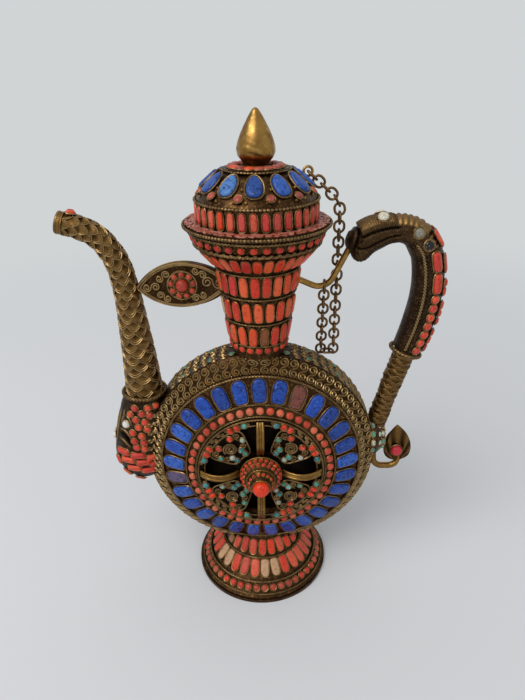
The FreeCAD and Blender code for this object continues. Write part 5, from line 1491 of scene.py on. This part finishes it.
class EWER_OT_tail(bpy.types.Operator):
    """Shapes the ridged shell leaf and the loop on the tail of the handle"""

    bl_idname = "ewer.tail"
    bl_label = "Tail"

    def execute(self, context):
        self.leaf()
        seats = seats_of("tail_corals")
        seats.origin = seats.origin - [2.6, 0.0, 0.6] - 1.9 * seats.out
        set_row("tail_corals", ("#c2283a", "#c83040"), name="tail_coral", lay=(1.6, 0.35, 0.9), seed=61,
                seats=seats, grow=(0.9, 0.9, 0.8))
        path = upright(rounded(TAIL, TAIL_BEND))
        thick = np.interp(np.arange(len(path)), (0, 24, 32), (2.1, 2.1, 1.3))
        loop = Shape().add(tube(path[None], BACKWARD, thick[None], 18), shade_and_grime=0.35)
        loop.piece("tail_scroll_loop", "pot", "bright_brass", ("tail_scroll",))
        return {"FINISHED"}

    def leaf(self):
        """A shell leaf: a half round at its foot and a curve to its tip, with ridges that fan out from the
        foot and a thinner middle."""
        reach = np.linalg.norm(LEAF_TIP - LEAF_FOOT)
        axis = (LEAF_TIP - LEAF_FOOT) / reach
        side = np.array([-axis[1], axis[0]])
        along = -LEAF_BROAD * np.cos(np.linspace(0.02, math.pi / 2, 36))
        along = np.concatenate([along, np.linspace(0, 0.995, 40)[1:] * reach])
        width = np.where(along < 0, np.sqrt(np.maximum(1 - (along / LEAF_BROAD) ** 2, 0)),
                         1 - (np.maximum(along, 0) / reach) ** 2.3)
        turn = ring_turns(72)
        fan = np.sin(turn)[None] * LEAF_BROAD * width[:, None]
        ray = np.arctan2(fan, along[:, None] + LEAF_BROAD + 3)
        ridge = 0.5 + 0.5 * np.cos(ray * 22)
        full = np.sqrt(width)[:, None]
        curl = 0.55 + 0.45 * fade(np.abs(fan) + 0.3 * along[:, None], 2.5, 6.5)
        thick = LEAF_THICK * full * curl * (1 - 0.5 * (1 - ridge)) * signed_power(np.cos(turn), 0.6)
        flat = LEAF_FOOT + along[:, None, None] * axis + fan[..., None] * side
        points = np.stack([flat[..., 0], thick, flat[..., 1]], -1)
        # Painted shade in the grooves between the ridges, less towards the tip.
        shape = Shape().add(skin(points[None]), 0.5, (0.9 * (1 - ridge) * full).ravel())
        shape.piece("tail_shell_leaf", "pot", "aged_brass", ("tail_leaf",))


FLANGE_HEIGHT = 244.8
FLANGE_ROWS = ((38.0, 62), (36.2, 58), (34.6, 54), (33.4, 52))      # radius and count of the chips
LID_DOME, DOME_BULGE = Cone(STAND, (32.0, 257.0), (16.4, 270.4)), 1.9
DOME_GRANULES = ((2.4, -0.1), (2.4, 0.1), (9.0, 0.0))               # along and shift round
FINIAL = ((6.6, 271.9), (6.4, 273.2), (7.7, 275.0), (9.6, 277.6), (10.15, 280.4), (9.5, 283.8), (7.9, 288.0),
          (5.7, 292.4), (3.3, 296.6), (1.5, 299.2), (0.3, 299.9))


class EWER_OT_lid(bpy.types.Operator):
    """Sets the lid's stones and chips and shapes its finial"""

    bl_idname = "ewer.lid"
    bl_label = "Lid"

    def execute(self, context):
        light = [(STAND.at(front_turn(-30), 26, 263), linear("#4a7ab8"), 1.0)]
        set_row("lid_lapis", ("#24509e", "#2c58a8", "#204890"), lay=(1.3, 0.7, 0.45), body="lid",
                low=ARCH, high=(0.66, 2.2), seed=71, grow=(1.7, 1.4, 0.0), changes=light, slot="lapis",
                target=(0, 0, 400))
        set_row("lid_tablets", CORALS["lid"], lay=(1.0, 0.5, 0.7), body="lid", low=SQUARE, high=ARCH,
                rows=SLAB, seed=72, target=(0, 0, 400), grow=(-0.3, 0.3, 0.0))
        bright = [(STAND.at(front_turn(a), 13, 272), linear("#e4502a"), 1.0) for a in (-8, -60)]
        set_row("lid_beads", ("#a04a38", "#8f4434", "#b0503c"), lay=(1.0, 0.15, 0.35), body="lid",
                seed=73, changes=bright, grow=(1.6, 1.6, 0.0))
        self.chips()
        self.dome_granules()
        self.finial()
        return {"FINISHED"}

    def chips(self):
        """Worn coral chips, bedded all over the flange."""
        rng = np.random.default_rng(74)
        shape = Shape()
        for radius, count in FLANGE_ROWS:
            turn = ring_turns(count, rng.uniform(-0.2, 0.2, count))
            origin = STAND.at(turn, radius + rng.uniform(-0.25, 0.25, count), FLANGE_HEIGHT)
            out = np.broadcast_to(STAND.axis, origin.shape)
            along = STAND.out(turn + rng.uniform(-0.4, 0.4, count))
            size = np.stack([rng.uniform(*ends, count) for ends in ((3.0, 4.2), (1.8, 2.4), (0.35, 0.7))], -1)
            tint = pick_tints(rng, ("#a8624e", "#9a5846", "#b8705c", "#a44e3c"), count)
            shape.add_stones(Seats(origin, np.cross(along, out), along, out, size), tint, rows=SLAB, steps=7)
        shape.piece("lid_flange_chips", "lid", "coral")

    def dome_granules(self):
        """Granules between the lapis petals of the domed top."""
        turn = ring_turns(12, 0.5) + math.radians(270)
        balls = Shape()
        for along, shift in DOME_GRANULES:
            bulge = DOME_BULGE * 4 * along * (LID_DOME.length - along) / LID_DOME.length ** 2
            balls.add(granules(LID_DOME.at(turn + shift, along, bulge), LID_DOME.normal(turn), 0.85))
        balls.piece("lid_dome_granules", "lid", "bright_brass")

    def finial(self):
        """A bud finial: a turned outline with a foot, a belly and a drawn-out tip, faintly dented by hand."""
        made = smooth(FINIAL, np.linspace(0, len(FINIAL) - 1, 90))
        radius, height = made[:, :1], made[:, 1:]
        turn = ring_turns(72)[None]
        dent = 1 - 0.008 * (np.sin(5 * turn + height * 0.7) * np.sin(height * 1.1) + 1)
        points = STAND.at(turn, radius * dent, height)
        # Brown stains in a band round the belly, and painted shade on the narrow foot under it.
        stain_and_shade = np.sin(4 * turn + 0.9 * height + 1.8) * np.sin(0.8 * height + 2 * np.sin(turn))
        stain_and_shade = 0.85 * fade(stain_and_shade, 0.35, 0.8) * bump(height, 279.0, 3.4) + 0.6 * fade(-height, -275.4, -273.4)
        shape = Shape().add(skin(points[None]), shade_and_grime=stain_and_shade.ravel())
        shape.piece("lid_finial_bud", "lid", "bright_brass", ("lid_finial",))


CAMERA_PLACE = (1.97, -295.14, 314.08)
CAMERA_PITCH, CAMERA_ROLL, CAMERA_LENS = 26.68, -0.78, 28.15
FLOOR_REACH, FLOOR_NEAR, FLOOR_FAR = 6.0, 0.3, 1.0      # metres; the floor goes over from near to far
LAMP_PLACE, LAMP_AIM = np.array([-0.9, -0.9, 1.7]), np.array([0.0, 0.0, 0.15])
LAMP_SIZE, LAMP_WATTS, SKY_STRENGTH = 1.4, 22.0, 0.62


def looking(place, across, above, ahead):
    """A matrix for a lamp or a camera at a place in metres that looks ahead."""
    turn = Matrix(np.stack([across, above, -ahead], 1).tolist()).to_4x4()
    return Matrix.Translation(place) @ turn


class EWER_OT_stage(bpy.types.Operator):
    """Lays the floor, hangs the soft lights and aims the camera"""

    bl_idname = "ewer.stage"
    bl_label = "Stage"

    def execute(self, context):
        self.floor(context)
        self.light(context)
        self.camera(context)
        return {"FINISHED"}

    def floor(self, context):
        """A wide matt floor that goes over into the backdrop far from the ewer."""
        mesh = bpy.data.meshes.new("floor")
        corners = [(x * FLOOR_REACH, y * FLOOR_REACH, 0) for x, y in ((-1, -1), (1, -1), (1, 1), (-1, 1))]
        mesh.from_pydata(corners, [], [(0, 1, 2, 3)])
        made, tree, shader, place = new_material("floor_matt_paint")
        shader.inputs["Base Color"].default_value = opaque(context.scene.ewer_colours.floor)
        shader.inputs["Roughness"].default_value = 0.9
        far = add_node(tree, "ShaderNodeVectorMath", {0: place}, operation="LENGTH").outputs["Value"]
        far = add_node(tree, "ShaderNodeMapRange", {"Value": far, "From Min": FLOOR_NEAR,
                                                    "From Max": FLOOR_FAR},
                       interpolation_type="SMOOTHSTEP").outputs["Result"]
        far = add_node(tree, "ShaderNodeMath", {0: far, 1: self.seen(tree)}, operation="MULTIPLY").outputs[0]
        glow = add_node(tree, "ShaderNodeEmission", {"Color": opaque(context.scene.ewer_colours.sky)})
        both = add_node(tree, "ShaderNodeMixShader", {0: far, 1: shader.outputs[0], 2: glow.outputs[0]})
        tree.links.new(both.outputs[0], tree.nodes["Material Output"].inputs["Surface"])
        mesh.materials.append(made)
        floor = put("floor", mesh)

    def seen(self, tree):
        """1 for rays that show the backdrop: from the camera, mirrored or let through."""
        path = add_node(tree, "ShaderNodeLightPath").outputs
        made = path["Is Camera Ray"]
        for ray in ("Is Glossy Ray", "Is Transmission Ray"):
            made = add_node(tree, "ShaderNodeMath", {0: made, 1: path[ray]}, operation="MAXIMUM").outputs[0]
        return made

    def light(self, context):
        """An even pale sky, which is seen as the backdrop, and one large soft light from the upper left."""
        world = bpy.data.worlds.new("overcast")
        context.scene.world = world
        world.use_nodes = True
        tree = world.node_tree
        tree.nodes.clear()
        sky = add_node(tree, "ShaderNodeBackground", {"Color": opaque(linear("#f2f5f8")),
                                                      "Strength": SKY_STRENGTH})
        back = add_node(tree, "ShaderNodeBackground", {"Color": opaque(context.scene.ewer_colours.sky)})
        both = add_node(tree, "ShaderNodeMixShader", {0: self.seen(tree), 1: sky.outputs[0],
                                                      2: back.outputs[0]})
        add_node(tree, "ShaderNodeOutputWorld", {"Surface": both.outputs[0]})
        lamp = bpy.data.lights.new("softbox", "AREA")
        lamp.size = LAMP_SIZE
        lamp.energy = LAMP_WATTS
        aim = unit(LAMP_AIM - LAMP_PLACE)
        across = unit(np.cross(aim, [0.0, 0.0, 1.0]))
        put("softbox", lamp).matrix_world = looking(LAMP_PLACE, across, np.cross(across, aim), aim)

    def camera(self, context):
        """A camera at the photographer's place, looking down at the lid and the flask."""
        pitch, roll = math.radians(CAMERA_PITCH), math.radians(CAMERA_ROLL)
        ahead = np.array([0.0, math.cos(pitch), -math.sin(pitch)])
        up = np.array([0.0, math.sin(pitch), math.cos(pitch)])
        right = np.array([1.0, 0.0, 0.0])
        across = math.cos(roll) * right + math.sin(roll) * up
        above = math.cos(roll) * up - math.sin(roll) * right
        lens = bpy.data.cameras.new("photographer")
        lens.lens = CAMERA_LENS
        lens.clip_start = 0.01
        made = put("photographer", lens)
        made.matrix_world = looking([c * METRE for c in CAMERA_PLACE], across, above, ahead)
        context.scene.camera = made
        context.scene.view_settings.view_transform = "Standard"


OPERATORS = (EWER_OT_metals, EWER_OT_wires, EWER_OT_foot, EWER_OT_flask, EWER_OT_medallions, EWER_OT_neck,
             EWER_OT_spout, EWER_OT_strut, EWER_OT_handle, EWER_OT_tail, EWER_OT_lid, EWER_OT_stage)


class EWER_PT_panel(bpy.types.Panel):
    """Sizes, colours and the pieces of the ewer"""

    bl_idname = "EWER_PT_panel"
    bl_label = "Ewer"
    bl_space_type = "VIEW_3D"
    bl_region_type = "UI"
    bl_category = "Ewer"

    def draw(self, context):
        for group in (context.scene.ewer_sizes, context.scene.ewer_colours):
            for name in group.__annotations__:
                self.layout.prop(group, name)
        for made in OPERATORS:
            self.layout.operator(made.bl_idname)


CLASSES = (EwerSizes, EwerColours, *OPERATORS, EWER_PT_panel)


def register():
    """Adds the classes and the scene's settings."""
    for made in CLASSES:
        bpy.utils.register_class(made)
    bpy.types.Scene.ewer_sizes = PointerProperty(type=EwerSizes)
    bpy.types.Scene.ewer_colours = PointerProperty(type=EwerColours)


def unregister():
    """Takes the classes and the scene's settings out again."""
    del bpy.types.Scene.ewer_colours
    del bpy.types.Scene.ewer_sizes
    for made in reversed(CLASSES):
        bpy.utils.unregister_class(made)


def main():
    """Builds the whole scene."""
    register()
    for made in OPERATORS:
        group, name = made.bl_idname.split(".")
        getattr(getattr(bpy.ops, group), name)()


if __name__ == "__main__":
    main()
